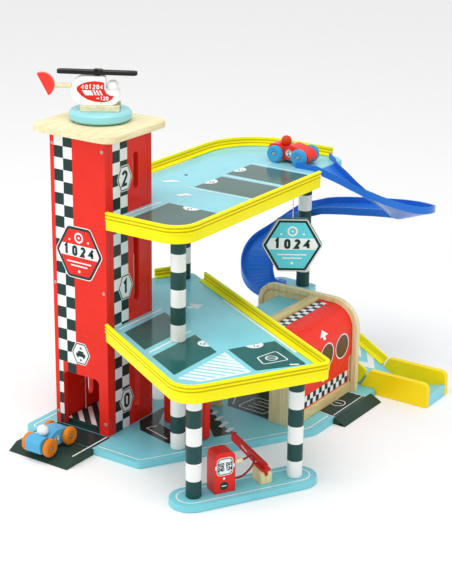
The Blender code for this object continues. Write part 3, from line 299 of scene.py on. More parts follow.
def rounded(corners, radius, steps=4):
    """A closed outline with each corner rounded by the same radius."""
    corners = [Vector(corner) for corner in corners]
    outline = []
    for i, corner in enumerate(corners):
        back = (corners[i - 1] - corner).normalized()
        ahead = (corners[(i + 1) % len(corners)] - corner).normalized()
        half = back.angle(ahead) / 2
        cut = radius / math.tan(half)
        centre = corner + (back + ahead).normalized() * (radius / math.sin(half))
        start = corner + back * cut - centre
        turn = start.angle_signed(corner + ahead * cut - centre)
        for k in range(steps + 1):
            outline.append(centre + Matrix.Rotation(-turn * k / steps, 2) @ start)
    return outline


def eased(points, radius):
    """An open line whose inner corners are rounded."""
    steps = 4
    inner = rounded(points, radius, steps)[steps + 1:-steps - 1]
    return [Vector(points[0]), *inner, Vector(points[-1])]


def oblong(left, low, right, high):
    """The four corners of an upright rectangle."""
    return [(left, low), (right, low), (right, high), (left, high)]


def disc(x, y, radius, start=0, end=360, steps=24):
    """A round patch, or a slice of one."""
    turns = steps if end - start >= 360 else steps + 1
    outline = []
    for k in range(turns):
        a = math.radians(start + (end - start) * k / steps)
        outline.append(Vector((x + radius * math.cos(a), y + radius * math.sin(a))))
    return outline


def patch(bm, points, out):
    """A flat face through points in millimetres, turned so that it looks along out."""
    face = bm.faces.new([bm.verts.new(point * MM) for point in points])
    face.normal_update()
    if face.normal.dot(out) < 0:
        face.normal_flip()


def settle(bm, name, body, material):
    """Makes an object of the mesh, with its finish, and hands it to its body and colour slot."""
    mesh = bpy.data.meshes.new(name)
    bm.to_mesh(mesh)
    bm.free()
    mesh.materials.append(material)
    new = bpy.data.objects.new(name, mesh)
    bpy.context.collection.objects.link(new)
    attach(new, body)


def ink(name, body, material, place, shapes, lift=0.12):
    """A thin printed layer: flat shapes in the plane of place, in millimetres."""
    bm = bmesh.new()
    out = (place.to_3x3() @ Vector((0, 0, 1))).normalized()
    for shape in shapes:
        patch(bm, [place @ Vector((p[0], p[1], lift)) for p in shape], out)
    settle(bm, name, body, material)


def level(z):
    """The plane of a floor at height z, seen from above."""
    return Matrix.Translation((0, 0, z))


dress("base_board", base_ink, edge=1.2)
dress("foot_plate", base_ink, edge=1.2)
base_top = level(9.5)
ink("base_front_line", "garage", white_ink, base_top, [
    *stroke(eased([(-117.5, 138), (-117.5, -33.5), (-102, -33.5)], 6), 1.9),
    *stroke(eased([(6.5, -33.5), (82.7, -33.5), (223, 199.4), (223, 254)], 9), 1.9),
])
plate_line = []
plate_middle, end_radius = 220, 19.5
for middle, side in ((193, 1), (31, -1)):
    for k in range(13):
        a = math.radians(90 - 15 * k)
        across = plate_middle - end_radius * side * math.sin(a)
        along = middle + end_radius * side * math.cos(a)
        plate_line.append((lane_n * across + lane_u * along).xy)
ink("foot_plate_line", "garage", white_ink, base_top, stroke(plate_line, 1.9, closed=True))

ink("base_dark_bays", "garage", dark_ink, base_top, [
    oblong(-100, -43, 3, -0.5),
    oblong(-88, 0.5, -11, 97),
    [(2, 72), (22, 47), (84, 33), (98, 62), (30, 82), (26, 92), (2, 140)],
    [(65, 171), (85, 154), (107, 138), (128, 123), (146, 123), (125, 91), (49, 164)],
    [(52, 238), (78, 196), (157, 190), (157, 340), (60, 340)],
    [(197, 258), (234, 257), (234, 350), (197, 350)],
])
crossing_bars = (
    ((78, 155), (76.5, 170)), ((95, 141), (93, 159)),
    ((113.5, 124), (111, 146)), ((131, 116), (129, 133)),
)
bay_rim = rounded([(92, 204), (140, 202), (146, 246), (98, 248)], 5)
ink("base_white_lines", "garage", white_ink, base_top, [
    *stroke([(34, 73), (26, 58), (73, 45)], 1.8),
    *[quad for bar in crossing_bars for quad in stroke(bar, 7)],
    *stroke([(82, 205), (66, 240), (70, 262)], 1.8),
    *stroke(bay_rim, 1.8, closed=True),
    *stroke([(104, 215), (134, 214)], 1.8),
    *stroke([(106, 226), (136, 225)], 1.8),
    *stroke([(108, 237), (138, 236)], 1.8),
    *stroke([(191, 262), (234, 255.5)], 1.6),
    *stroke([(197, 351.5), (234, 350)], 1.6),
    *stroke([(229.5, 259), (229.5, 348)], 1.6),
    *stroke(disc(212, 304, 11), 1.4, closed=True),
    *stroke([(206, 304), (218, 304)], 1.4),
], lift=0.24)


# ---- Drive-on ramps
# Two bevelled strips of board in dark green, one at the tower's door and one at the workshop.
# The white lane lines of the base run on over the door's ramp.

ramp_ink = coated("ramp_dark_green", (44, 68, 60), roughness=0.3, change=0.1, peel=0.2)
dress("entry_ramp", ramp_ink, edge=0.8)
dress("workshop_ramp", ramp_ink, edge=0.8)
ink("lane_lines", "garage", white_ink, base_top, [
    oblong(-3.6, -81, -1.2, -2), oblong(-98.6, -81, -96.2, -2),
], lift=0.3)


# ---- Tower
# Four red lacquered panels round the lift's shaft, screwed together at their edges.
# Two columns of a checkered band run down the front and the right side, with plain signs on them.

tower_red = coated("tower_red", (232, 46, 34), roughness=0.22, coat=0.105)
for name in ("tower_front", "tower_back", "tower_left", "tower_right"):
    dress(name, tower_red)


def wall(right, out, spot=(0, 0, 0)):
    """An upright plane at spot: X runs along right, Y runs up and Z points along out."""
    (rx, ry, _), (ox, oy, _), (x, y, z) = right, out, spot
    return Matrix(((rx, 0, ox, x), (ry, 0, oy, y), (0, 1, 0, z), (0, 0, 0, 1)))


front_face = wall((1, 0, 0), (0, -1, 0))
right_face = wall((0, 1, 0), (1, 0, 0))
check_pitch = 17.18
band_top, band_foot = 458.6, 10.2
first_row = 454.88
door_left, door_top = -83.4, 96


def checks(left, right, dark):
    """The dark or the white cells of a checkered band of two columns."""
    middle = (left + right) / 2
    cells = []
    row = 0
    while first_row - row * check_pitch > band_foot:
        high = min(first_row - row * check_pitch, band_top)
        low = max(first_row - (row + 1) * check_pitch, band_foot)
        a, b = (left, middle) if (row % 2 == 1) == dark else (middle, right)
        cells.append(oblong(a, low, b, high))
        row += 1
    return cells


def door_side(cells):
    """The cells of the front that the door leaves."""
    kept = []
    for (left, low), (right, _), (_, high), _ in cells:
        if low < door_top:
            if left > door_left:
                low = door_top
            else:
                right = min(right, door_left)
        if right - left > 0.5 and high - low > 0.3:
            kept.append(oblong(left, low, right, high))
    return kept


for label, tone, finish in (("dark", True, dark_ink), ("white", False, white_ink)):
    for side, face, cells in (
        ("front", front_face, door_side(checks(-91, -58.4, tone))),
        ("right", right_face, checks(17, 50.2, tone)),
    ):
        ink(f"{side}_checks_{label}", "garage", finish, face, cells)


def hexagon_reach(size, shrink):
    """Half the width, half the top edge and half the height of a sign drawn in by shrink."""
    wide, tall, top, _ = size
    return wide / 2 - shrink * 1.15, top / 2 - shrink * 0.6, tall / 2 - shrink


def hexagon(x, y, size, shrink):
    """A sign's outline, with points at its left and right; size is (wide, tall, top, radius)."""
    w, t, h = hexagon_reach(size, shrink)
    corners = [(-w, 0), (-t, -h), (t, -h), (w, 0), (t, h), (-t, h)]
    ring = rounded(corners, max(size[3] - shrink, 0.6))
    return [(p.x + x, p.y + y) for p in ring]


def band_of(x, y, size, shrink, low, high):
    """The slice of a sign from below its middle to above it."""
    w, t, h = hexagon_reach(size, shrink)
    lower, upper = (w - (w - t) * abs(z) / h for z in (low, high))
    return [
        (x - lower, y + low), (x + lower, y + low), (x + w - 1, y),
        (x + upper, y + high), (x - upper, y + high), (x - w + 1, y),
    ]


def digit(which, x, y, tall, width):
    """A plain numeral, 0, 1, 2 or 4, built from strokes."""
    w = tall * 0.24
    h = tall / 2
    if which == "0":
        ring = rounded([(-w, -h), (w, -h), (w, h), (-w, h)], w * 0.9)
        return stroke([(p.x + x, p.y + y) for p in ring], width, closed=True)
    if which == "1":
        return stroke([(x - w * 0.9, y + h * 0.62), (x, y + h), (x, y - h)], width)
    if which == "2":
        top = disc(0, h - w, w, 170, -40, 10)
        path = [*top, Vector((-w, -h)), Vector((w * 1.15, -h))]
        return stroke([(p.x + x, p.y + y) for p in path], width)
    return [
        *stroke([(x + w, y + h), (x - w, y - h * 0.3), (x + w, y - h * 0.3)], width),
        *stroke([(x + w * 0.5, y + h * 0.2), (x + w * 0.5, y - h)], width),
    ]


def row_of_digits(text, x, y, tall, width, pitch):
    """Plain numerals side by side, from the middle of the first; a space leaves a gap."""
    return [
        quad for k, figure in enumerate(text) if figure != " "
        for quad in digit(figure, x + pitch * k, y, tall, width)
    ]


def badge(name, body, place, x, y, size, field):
    """A large sign: dark rim, white line, coloured field, and a white band across it."""
    for label, finish, shrink, lift in (
        ("rim_white", white_ink, 0, 0.15),
        ("rim_dark", dark_ink, 1.3, 0.25),
        ("field", field, 5, 0.45),
    ):
        ink(f"{name}_{label}", body, finish, place, [hexagon(x, y, size, shrink)], lift)
    ink(f"{name}_motif", body, white_ink, place, [
        band_of(x, y, size, 5, -6.5, 11.5),
        *stroke(disc(x, y + 22.5, 6.6), 2.6, closed=True),
        disc(x, y + 22.5, 1.8, steps=12),
        disc(x - 17, y + 18, 1.7, steps=12),
        disc(x + 17, y + 18, 1.7, steps=12),
        *stroke([(x - 22, y - 14.5), (x + 22, y - 14.5)], 2),
        *stroke([(x - 15, y - 20), (x + 15, y - 20)], 2),
        disc(x, y - 28, 2.2, steps=12),
    ], 0.55)
    ink(f"{name}_numerals", body, dark_ink, place, [
        *digit("1", x - 22.5, y + 2.5, 13.5, 4.2),
        *digit("0", x - 7.5, y + 2.5, 11.5, 4.2),
        *digit("2", x + 7.5, y + 2.5, 11.5, 4.2),
        *digit("4", x + 22.5, y + 2.5, 13, 4),
    ], 0.65)


def small_badge(name, place, x, y, wide, tall):
    """A small white hexagon with a dark line near its rim."""
    size = (wide, tall, wide * 0.5, 4)
    for label, finish, shrink, lift in (
        ("white", white_ink, 0, 0.35),
        ("line", dark_ink, 1.2, 0.45),
        ("field", white_ink, 2.8, 0.55),
    ):
        ring = hexagon(x, y, size, shrink)
        ink(f"{name}_{label}", "garage", finish, place, [ring], lift)


red_field = coated("sign_red_print", (230, 48, 36), roughness=0.2, coat=0.09)
sign_size = (86, 78, 42, 8)
badge("front_sign", "garage", front_face, -49, 285, sign_size, red_field)
small_badge("lift_badge", front_face, -49.5, 130, 35, 34)
ink("lift_badge_mark", "garage", dark_ink, front_face, [
    rounded(oblong(-58, 125.5, -41, 130.5), 1.2),
    [(-55.5, 130.6), (-43.5, 130.6), (-45.5, 134.2), (-53.5, 134.2)],
    oblong(-56.5, 123.4, -53.5, 125.4),
    oblong(-45.5, 123.4, -42.5, 125.4),
    [(-52.2, 137), (-46.8, 137), (-49.5, 141)],
    [(-52.2, 121.4), (-49.5, 117.6), (-46.8, 121.4)],
], 0.65)
for number, height in (("0", 54), ("1", 232), ("2", 394)):
    small_badge(f"floor_badge_{number}", right_face, 43.5, height, 35, 38)
    figure = digit(number, 43.5, height, 18.5, 4.6)
    ink(f"floor_number_{number}", "garage", dark_ink, right_face, figure, 0.65)


def turned_piece(name, body, material, place, profile, steps):
    """A small round piece, turned about the local Z axis of place, in millimetres."""
    bm = bmesh.new()
    rings = []
    for radius, z in profile:
        spots = [Vector((0, 0, z))]
        if radius > 0:
            turns = [2 * math.pi * k / steps for k in range(steps)]
            spots = [Vector((radius * math.cos(a), radius * math.sin(a), z)) for a in turns]
        rings.append([bm.verts.new((place @ spot) * MM) for spot in spots])
    for one, two in zip(rings, rings[1:]):
        for k in range(steps):
            after = (k + 1) % steps
            if len(one) == 1:
                bm.faces.new((one[0], two[k], two[after]))
            elif len(two) == 1:
                bm.faces.new((one[k], two[0], one[after]))
            else:
                bm.faces.new((one[k], two[k], two[after], one[after]))
    bmesh.ops.recalc_face_normals(bm, faces=bm.faces)
    for face in bm.faces:
        face.smooth = True
    settle(bm, name, body, material)


screw_metal = bpy.data.materials.new("screw_steel")
screw_metal.use_nodes = True
steel = screw_metal.node_tree
steel_shader = steel.nodes["Principled BSDF"]
steel_shader.inputs["Metallic"].default_value = 0.9
steel_shader.inputs["Roughness"].default_value = 0.42
brushed = node(steel, "TexNoise", {"Scale": 400, "Detail": 3})
steel_shades = node(steel, "ValToRGB", {"Fac": brushed})
steel_ends = steel_shades.node.color_ramp.elements
steel_ends[0].color = (0.32, 0.28, 0.24, 1)
steel_ends[1].color = (0.62, 0.58, 0.52, 1)
feed(steel_shades, steel_shader.inputs["Base Color"])


def screws(name, spots, y, profile):
    """Screw heads in a board whose face looks to the front."""
    for i, (x, z) in enumerate(spots):
        place = Matrix.Translation((x, y, z)) @ front_face
        turned_piece(f"{name}_{i + 1}", "garage", screw_metal, place, profile, 12)


screws(
    "tower_screw", [(x, z) for z in (440, 232, 28) for x in (-94.5, -5.5)], -0.1,
    [(0, 0.1), (1, 0.1), (1.3, 0.55), (2.3, 0.45), (2.7, 0)],
)


# ---- Roof board
# A square of pale birch board with round corners, left bare and sanded.
# Its grain runs from front to back, and the edge shows the ply's layers.

def wood_grain():
    """Pale sanded wood: long streaks, slow bands of tone and fine pores."""
    group, given, made = open_group(
        "wood_grain",
        {
            "Light": "Color", "Dark": "Color",
            "Along X": "Float", "Along Y": "Float", "Along Z": "Float",
        },
        {"Colour": "Color", "Roughness": "Float", "Height": "Float"},
    )
    place = node(group, "TexCoord", give="Object")
    stretch = node(group, "CombineXYZ", {axis: given[f"Along {axis}"] for axis in "XYZ"})
    spread = node(group, "VectorMath", {0: place, 1: stretch}, operation="MULTIPLY")
    streaks = {"Vector": spread, "Scale": 9, "Detail": 6, "Distortion": 0.8}
    tone = node(group, "ValToRGB", {"Fac": node(group, "TexNoise", streaks)})
    tone.node.color_ramp.elements[0].position = 0.34
    tone.node.color_ramp.elements[1].position = 0.66
    tones = {"Factor": tone, "A": given["Dark"], "B": given["Light"]}
    pores = node(group, "TexNoise", {"Vector": spread, "Scale": 42, "Detail": 3})
    dull = node(group, "MapRange", {"Value": pores, "To Min": 0.42, "To Max": 0.62})
    feed(node(group, "Mix", tones, "Result", data_type="RGBA"), made["Colour"])
    feed(dull, made["Roughness"])
    feed(pores, made["Height"])
    return group


birch = wood_grain()


def bare_wood(name, light, dark, along):
    """Bare wood whose grain runs along one axis, X, Y or Z."""
    material, _, grain = surface(name, light, birch, 0.15, 0.12, 0.0003)
    grain.inputs["Light"].default_value = (*shade(*light), 1)
    grain.inputs["Dark"].default_value = (*shade(*dark), 1)
    for axis in "XYZ":
        grain.inputs[f"Along {axis}"].default_value = 2 if axis == along else 22
    return material


roof_birch = bare_wood("roof_birch", (244, 234, 196), (230, 214, 166), "Y")
dress("roof_board", roof_birch, edge=0.8)


# ---- Lift
# A thick lacquered disc on the roof turns the spool below it, which winds the lift's cord.
# The platform is a dark plate with white hatching, hung at both sides of the shaft.

pad_lacquer = coated("helipad_turquoise", (150, 218, 228), roughness=0.16, change=0.04, coat=0.15)
spool_wood = bare_wood("pale_wood_upright", (240, 226, 182), (222, 202, 150), "Z")
dress("helipad_disc", pad_lacquer, edge=1.2)
dress("lift_spool", spool_wood, edge=0.4)
dress("lift_platform", dark_ink, edge=0.4)
ink("lift_hatch", "lift", white_ink, level(14.5), [
    [(-87, 12), (-87, 21), (-78, 12)],
    [(-87, 35), (-87, 45), (-55, 13), (-65, 13)],
    [(-86.5, 57.5), (-84, 65), (-32, 13), (-42, 13)],
    [(-87, 81), (-87, 91), (-12.5, 16.5), (-12.5, 13), (-19, 13)],
    [(-79, 96), (-69, 96), (-12.5, 39.5), (-12.5, 29.5)],
    [(-56, 96), (-46, 96), (-14.5, 64.5), (-13, 53.5)],
    [(-33, 96), (-23, 96), (-12.5, 85.5), (-12.5, 75.5)],
])


def twisted_cord(name, colour):
    """A thin twisted cord: slanting strands across a soft, dull thread."""
    material = coated(name, colour, roughness=0.75, change=0.04, peel=0.1)
    tree = material.node_tree
    thread = {"Vector": node(tree, "TexCoord", give="Object"), "Scale": 900, "Distortion": 0.4}
    twist = node(tree, "TexWave", thread, "Fac", bands_direction="DIAGONAL")
    strands = node(tree, "Bump", {"Strength": 0.6, "Distance": 0.0004, "Height": twist})
    feed(strands, tree.nodes["Principled BSDF"].inputs["Normal"])
    return material


cord_thread = twisted_cord("white_cord", (236, 236, 230))
nodes["lift_cord"].material_slots[0].material = cord_thread
nodes["sign_cord"].material_slots[0].material = cord_thread


# ---- Lower deck
# A printed board turned against the tower, with parking bays and white lines on it.
# A yellow moulded kerb with ribs clips round its outer edge, and a red panel carries it inside.

deck_ink = coated("deck_turquoise", (140, 214, 226), roughness=0.14, coat=0.15)
bay_ink = coated("bay_dark_green", (44, 98, 94), roughness=0.12, change=0.07, coat=0.15)
hatch_ink = coated("hatch_white", (236, 248, 250), roughness=0.2, change=0.02)
stripe_ink = coated("hatch_turquoise", (160, 218, 224), roughness=0.16, change=0.03, coat=0.09)
dress("deck_1_board", deck_ink, edge=0.6)
dress("deck_1_support", tower_red)
lower_height = 176.4
lower_floor = level(lower_height)


def kerb_plastic(name):
    """The bright yellow plastic of the decks' kerbs."""
    return coated(name, (252, 242, 26), roughness=0.34, change=0.03, peel=0.03)


def yellow_with_groove_shade(name, height):
    """The kerb's plastic with painted shade: a darker yellow at the heights of the two grooves
    between its ribs.
    """
    material = kerb_plastic(name)
    tree = material.node_tree
    place = node(tree, "TexCoord", give="Object")
    rise = node(tree, "MapRange", {
        "Value": node(tree, "SeparateXYZ", {0: place}, "Z"),
        "From Min": height * MM, "From Max": (height + 15) * MM,
    })
    tones = node(tree, "ValToRGB", {"Fac": rise})
    ramp = tones.node.color_ramp
    ramp.interpolation = "CONSTANT"
    # Painted shade: the grooves' heights get a darker yellow on every face of the kerb, standing in
    # for the shade inside the grooves.
    bright, groove_shade = (*shade(252, 242, 26), 1), (*shade(206, 186, 6), 1)
    ramp.elements[0].color = bright
    ramp.elements[1].position = 0.19
    ramp.elements[1].color = groove_shade
    for position, tone in ((0.34, bright), (0.52, groove_shade), (0.67, bright)):
        ramp.elements.new(position).color = tone
    feed(tones, tree.nodes["skin"].inputs["Colour"])
    return material


def kerb_outer_edge(name, top, bottom):
    """The points along the top of a kerb's outer wall, in order."""
    part = nodes[name]
    bm = bmesh.new()
    bm.from_mesh(part.data)
    bm.transform(part.matrix_world)
    bmesh.ops.remove_doubles(bm, verts=bm.verts, dist=0.00001)
    steps = {}
    for edge in bm.edges:
        one, two = edge.verts
        if min(one.co.z, two.co.z) < (top - 0.05) * MM:
            continue
        corners = [corner for face in edge.link_faces for corner in face.verts]
        if min(corner.co.z for corner in corners) < (bottom + 0.05) * MM:
            steps.setdefault(one, []).append(two)
            steps.setdefault(two, []).append(one)
    here = next(corner for corner in steps if len(steps[corner]) == 1)
    walked = []
    while here is not None:
        walked.append(here)
        here = next((corner for corner in steps[here] if corner not in walked), None)
    line = [Vector((corner.co.x, corner.co.y)) / MM for corner in walked]
    bm.free()
    wall_end = 3.6
    if (line[1] - line[0]).length < wall_end:
        line = line[1:]
    if (line[-1] - line[-2]).length < wall_end:
        line = line[:-1]
    return line


kerb_yellow = kerb_plastic("kerb_yellow")


def kerb_ribs(name, height):
    """Three raised ribs along the outer wall of a kerb whose deck lies at height."""
    line = kerb_outer_edge(name, height + 13.5, height - 13)
    middle = sum(line, Vector((0, 0))) / len(line)
    outward = mitres(line)
    if sum((spot - middle).dot(way) for spot, way in zip(line, outward)) < 0:
        outward = [-way for way in outward]
    bm = bmesh.new()
    for low, high in ((0.2, 3), (5, 8), (10, 13.2)):
        section = [(-0.3, low), (1.4, low + 0.5), (1.4, high - 0.5), (-0.3, high)]
        rings = [
            [bm.verts.new((spot + way * out).to_3d() * MM + Vector((0, 0, height + up)) * MM)
             for out, up in section]
            for spot, way in zip(line, outward)
        ]
        for one, two in zip(rings, rings[1:]):
            for k in range(4):
                after = (k + 1) % 4
                bm.faces.new((one[k], two[k], two[after], one[after]))
        bm.faces.new(rings[0])
        bm.faces.new(rings[-1][::-1])
    bmesh.ops.recalc_face_normals(bm, faces=bm.faces)
    settle(bm, f"{name}_ribs", "garage", kerb_yellow)


# The lower kerbs' grooves carry painted shade.
lower_yellow = yellow_with_groove_shade("kerb_yellow_lower", lower_height)
for name in ("deck_1_kerb", "deck_1_end_kerb"):
    dress(name, lower_yellow, edge=0.6)
    kerb_ribs(name, lower_height)

ink("lower_bays", "garage", bay_ink, lower_floor, [
    [(21.8, 11), (85.4, -25), (85.4, 75), (20.3, 112)],
    [(108, -38), (171, -73), (171, 28), (108.5, 64)],
    eased([(178.5, 44.5), (252, 3), (296, 63), (214.6, 110)], 5),
])
ink("lower_lines", "garage", white_ink, lower_floor, [
    *stroke([(8.7, 15), (9.2, 120)], 4),
    *stroke([(96.3, -29), (95.8, 72)], 3),
    *stroke([(60, 206), (205, 123.5), (262, 91)], 4),
    [(33, 148), (41, 144), (45, 152), (53, 149), (49, 171), (28, 163), (36, 157)],
])
ink("lower_hatch_field", "garage", hatch_ink, lower_floor, [
    [(181, 33), (249, -4), (238, -26), (213, -70), (200, -79), (182, -81)],
])
hatching = []
hatch_left, hatch_right, stripe_width = 182, 249, 4.6
for k in range(11):
    low = -84 + 11.2 * k
    end = min(hatch_right, hatch_left + max(0, (33 - low) / 0.88), 210 + (low + 79) * 0.62)
    if end - hatch_left > 6:
        far = low + (end - hatch_left) * 0.30
        stripe = [
            (hatch_left, low), (end, far),
            (end, far + stripe_width), (hatch_left, low + stripe_width),
        ]
        hatching.append([(x, min(y, 32.4 - (x - hatch_left) * 0.53)) for x, y in stripe])
ink("lower_hatching", "garage", stripe_ink, lower_floor, hatching, 0.24)


def half_label(x, y, radius, way):
    """A half-round white label on the edge of a bay."""
    return disc(x, y, radius, way, way + 180, 16)


label_rim = rounded([(228, 43), (248, 28), (267, 62), (236, 78)], 4)
ink("lower_labels", "garage", white_ink, lower_floor, [
    half_label(71, 83.5, 11.5, 150.5),
    half_label(141, 45.5, 12.5, 150.5),
    half_label(198, 80.5, 13.5, 241),
    *stroke(label_rim, 1.8, closed=True),
    *stroke(disc(245, 53, 8), 1.8, closed=True),
    *stroke([(239, 49), (251, 57)], 1.8),
    [(276, 50), (286, 58), (289, 55), (279, 47)],
], lift=0.24)

# The turn about Z that faces the photograph's side.
photo_turn = math.radians(33.8)


def small_numbers(spots):
    """Plain numerals of two figures lying on a deck, turned to face the photograph's side."""
    turn = Matrix.Rotation(photo_turn, 2)
    return [
        [Vector((x, y)) + turn @ p for p in quad]
        for text, x, y in spots
        for quad in row_of_digits(text, -2.3, 0, 5.4, 1.1, 4.6)
    ]


ink("lower_label_numbers", "garage", dark_ink, lower_floor, small_numbers(
    (("11", 66.5, 78.5), ("12", 138.5, 40), ("14", 204, 77)),
), lift=0.36)


# ---- Upper deck
# A long printed board that leans on the tower and ends in a round back over the slide's mouth.
# Its kerb is the same yellow moulding in two lengths.

dress("deck_2_board", deck_ink, edge=0.6)
upper_height = 342.9
upper_floor = level(upper_height)
# The upper kerbs' grooves carry painted shade.
upper_yellow = yellow_with_groove_shade("kerb_yellow_upper", upper_height)
for name in ("deck_2_front_kerb", "deck_2_back_kerb"):
    dress(name, upper_yellow, edge=0.6)
    kerb_ribs(name, upper_height)
upper_bay_ink = coated(
    "upper_bay_grey_green", (74, 108, 102), roughness=0.14, change=0.07, coat=0.15,
)
ink("upper_bays", "garage", upper_bay_ink, upper_floor, [
    [(22.5, 15), (84, 15), (98, 22), (107.5, 36), (108, 120.5), (21.4, 120.5)],
    [(2.5, 210), (109, 213), (109, 285.5), (3.7, 283)],
    [(0.7, 298.6), (109, 298.6), (109, 369), (1.3, 368)],
])
ink("upper_lines", "garage", white_ink, upper_floor, [
    *stroke([(6.5, 14), (9.5, 118)], 3.4),
    *stroke([(-8, 203.5), (109, 206)], 2.6),
    *stroke([(-2, 291), (109, 291.5)], 2.6),
    *stroke([(0, 374.5), (112, 374.5)], 2.6),
    [(-57, 207), (-45, 205), (-40, 213), (-28, 221), (-44, 223), (-50, 214)],
    [(3, 160), (14, 157), (18, 165), (30, 172), (14, 176), (9, 168)],
    half_label(63, 120.5, 13.5, 180),
    half_label(3, 249, 13.5, 270),
    half_label(1, 331, 13.5, 270),
    *stroke([(-92, 128), (-92, 340)], 2.2),
], lift=0.24)
ink("upper_label_numbers", "garage", dark_ink, upper_floor, [
    *small_numbers((("21", 63, 114), ("22", 9, 248), ("24", 7, 330))),
    disc(-45.6, 257, 3),
], lift=0.36)


# ---- Posts
# Turned wooden posts of one diameter, lacquered in equal bands of white and dark green.
# A little over six bands fill a storey, and the two colours are masked off sharply.

def colour_bands():
    """Equal bands of two colours up the Z axis; Storey shifts those above the lower deck."""
    group, given, made = open_group(
        "colour_bands",
        {
            "First": "Color", "Second": "Color",
            "Start": "Float", "Pitch": "Float", "Storey": "Float",
        },
        {"Colour": "Color"},
    )
    place = node(group, "TexCoord", give="Object")
    height = node(group, "SeparateXYZ", {0: place}, "Z")
    under_lower_deck = 172 * MM
    upstairs = maths(group, "GREATER_THAN", height, under_lower_deck)
    raised = maths(group, "MULTIPLY", upstairs, given["Storey"])
    above = maths(group, "SUBTRACT", height, maths(group, "ADD", given["Start"], raised))
    turns = maths(group, "DIVIDE", above, maths(group, "MULTIPLY", given["Pitch"], 2))
    second = maths(group, "GREATER_THAN", maths(group, "FRACT", turns), 0.5)
    tones = {"Factor": second, "A": given["First"], "B": given["Second"]}
    feed(node(group, "Mix", tones, "Result", data_type="RGBA"), made["Colour"])
    return group


bands = colour_bands()
post_foot, band_tall, storey = 9.5, 26.2, 166.9


def banded(name, first, start, shift=0):
    """A post's lacquer: bands that begin at a height with dark or white."""
    material = coated(name, (240, 240, 238), roughness=0.24, change=0.03, coat=0.09)
    tree = material.node_tree
    tones = [(*shade(38, 76, 74), 1), (*shade(242, 243, 240), 1)]
    if first == "white":
        tones.reverse()
    stripes = node(tree, "Group", {
        "First": tones[0], "Second": tones[1],
        "Start": start * MM, "Pitch": band_tall * MM, "Storey": shift * MM,
    }, node_tree=bands)
    feed(stripes, tree.nodes["skin"].inputs["Colour"])
    return material


for name, finish in (
    ("post_1", banded("post_bands_dark_foot", "dark", post_foot)),
    ("post_2", banded("post_bands_white_foot", "white", post_foot)),
    ("post_3", banded("post_bands_tall_white_foot", "white", post_foot, storey)),
    ("post_4", banded("post_bands_tall_dark_foot", "dark", post_foot, storey)),
    ("post_5", banded("post_bands_back", "dark", 123.8)),
):
    dress(name, finish, edge=0.3)


# ---- Workshop
# Two birch arches hold a sliding shutter in grooves, over a turquoise ceiling.
# The shutter is a thin red sheet with checkered ends, white arrows and two round windows.

arch_birch = bare_wood("arch_birch", (240, 228, 186), (224, 204, 152), "Z")
rail_birch = bare_wood("rail_birch", (232, 212, 156), (212, 184, 122), "Y")
ceiling_ink = coated("ceiling_turquoise", (128, 206, 218), roughness=0.2, coat=0.09)
shutter_red = coated("shutter_red", (242, 58, 42), roughness=0.26, coat=0.06)
window_brown = coated("window_brown", (104, 76, 52), roughness=0.3, change=0.12, coat=0.06)
line_orange = coated("shutter_line_orange", (196, 116, 52), roughness=0.3)
for name, finish, edge in (
    ("workshop_near_arch", arch_birch, 0.6),
    ("workshop_far_arch", arch_birch, 0.6),
    ("workshop_ceiling", ceiling_ink, 0.5),
    ("shutter_sheet", shutter_red, 0.2),
    ("shutter_bottom_rail", rail_birch, 0.2),
    ("shutter_top_rail", rail_birch, 0.5),
):
    dress(name, finish, edge)

sheet_top = level(150)
sheet_front = Matrix.Translation((203, 0, 0)) @ right_face
low_strip = Matrix.Translation((201.7, 0, 0)) @ right_face
ink("shutter_low_red", "shutter_low_part", shutter_red, low_strip, [
    oblong(196.5, 27.2, 350, 72.4),
], 0.12)
check_wide, top_check_tall, low_check_tall = 8.65, 8.4, 9.4
for label, tone, finish in (("dark", 0, dark_ink), ("white", 1, white_ink)):
    top_cells = []
    low_cells = []
    for column in range(17):
        row = (column + tone) % 2
        y = 200 + check_wide * column
        x = 143.6 + top_check_tall * row
        z = 29 + low_check_tall * row
        top_cells.append(oblong(x, y, x + top_check_tall, y + check_wide))
        low_cells.append(oblong(y, z, y + check_wide, z + low_check_tall))
    ink(f"shutter_top_checks_{label}", "garage", finish, sheet_top, top_cells, 0.15)
    ink(
        f"shutter_low_checks_{label}", "shutter_low_part", finish, low_strip, low_cells,
        0.24,
    )
ink("shutter_orange_lines", "garage", line_orange, sheet_top, [
    oblong(141.6, 197, 143.2, 350),
], 0.15)
windows = ((279.5, 95.2), (325, 95.6))
ink("shutter_window_panes", "garage", window_brown, sheet_front, [
    disc(y, z, 18.8, steps=32) for y, z in windows
], 0.15)
ink("shutter_window_rings", "garage", white_ink, sheet_front, [
    quad for y, z in windows for quad in stroke(disc(y, z, 19.3, steps=32), 1.9, closed=True)
], 0.3)


def on_shoulder(name, shape):
    """A white print that follows the shutter's bend: shape gives (y, distance along the bend)."""
    centre_x, centre_z, radius, lift = 167, 114, 36, 0.3
    reach = radius + lift
    bm = bmesh.new()
    patch(bm, [
        Vector((
            centre_x + reach * math.cos(t / radius), y, centre_z + reach * math.sin(t / radius),
        ))
        for y, t in shape
    ], Vector((1, 0, 1)))
    settle(bm, name, "garage", white_ink)


on_shoulder("shutter_arrow_stem", oblong(269.3, 8.6, 276.3, 14.2))
on_shoulder("shutter_arrow_head", [(261.6, 14.2), (285, 14.2), (274, 24)])
ink("shutter_low_arrow", "shutter_low_part", white_ink, low_strip, [
    oblong(271.5, 61.5, 278.5, 67.5),
    [(262, 61.5), (285, 61.5), (273.5, 52.5)],
], 0.24)
screws(
    "arch_screw", ((196.5, 26), (196.5, 120), (150, 157.5)), 183.1,
    [(0, 0.1), (0.8, 0.1), (1.1, 0.5), (1.9, 0.45), (2.2, 0)],
)


# ---- Slide
# Two blow-moulded channels in bright blue plastic, joined on the long straight.
# The plastic is glossy, with the faint flow marks of the mould.

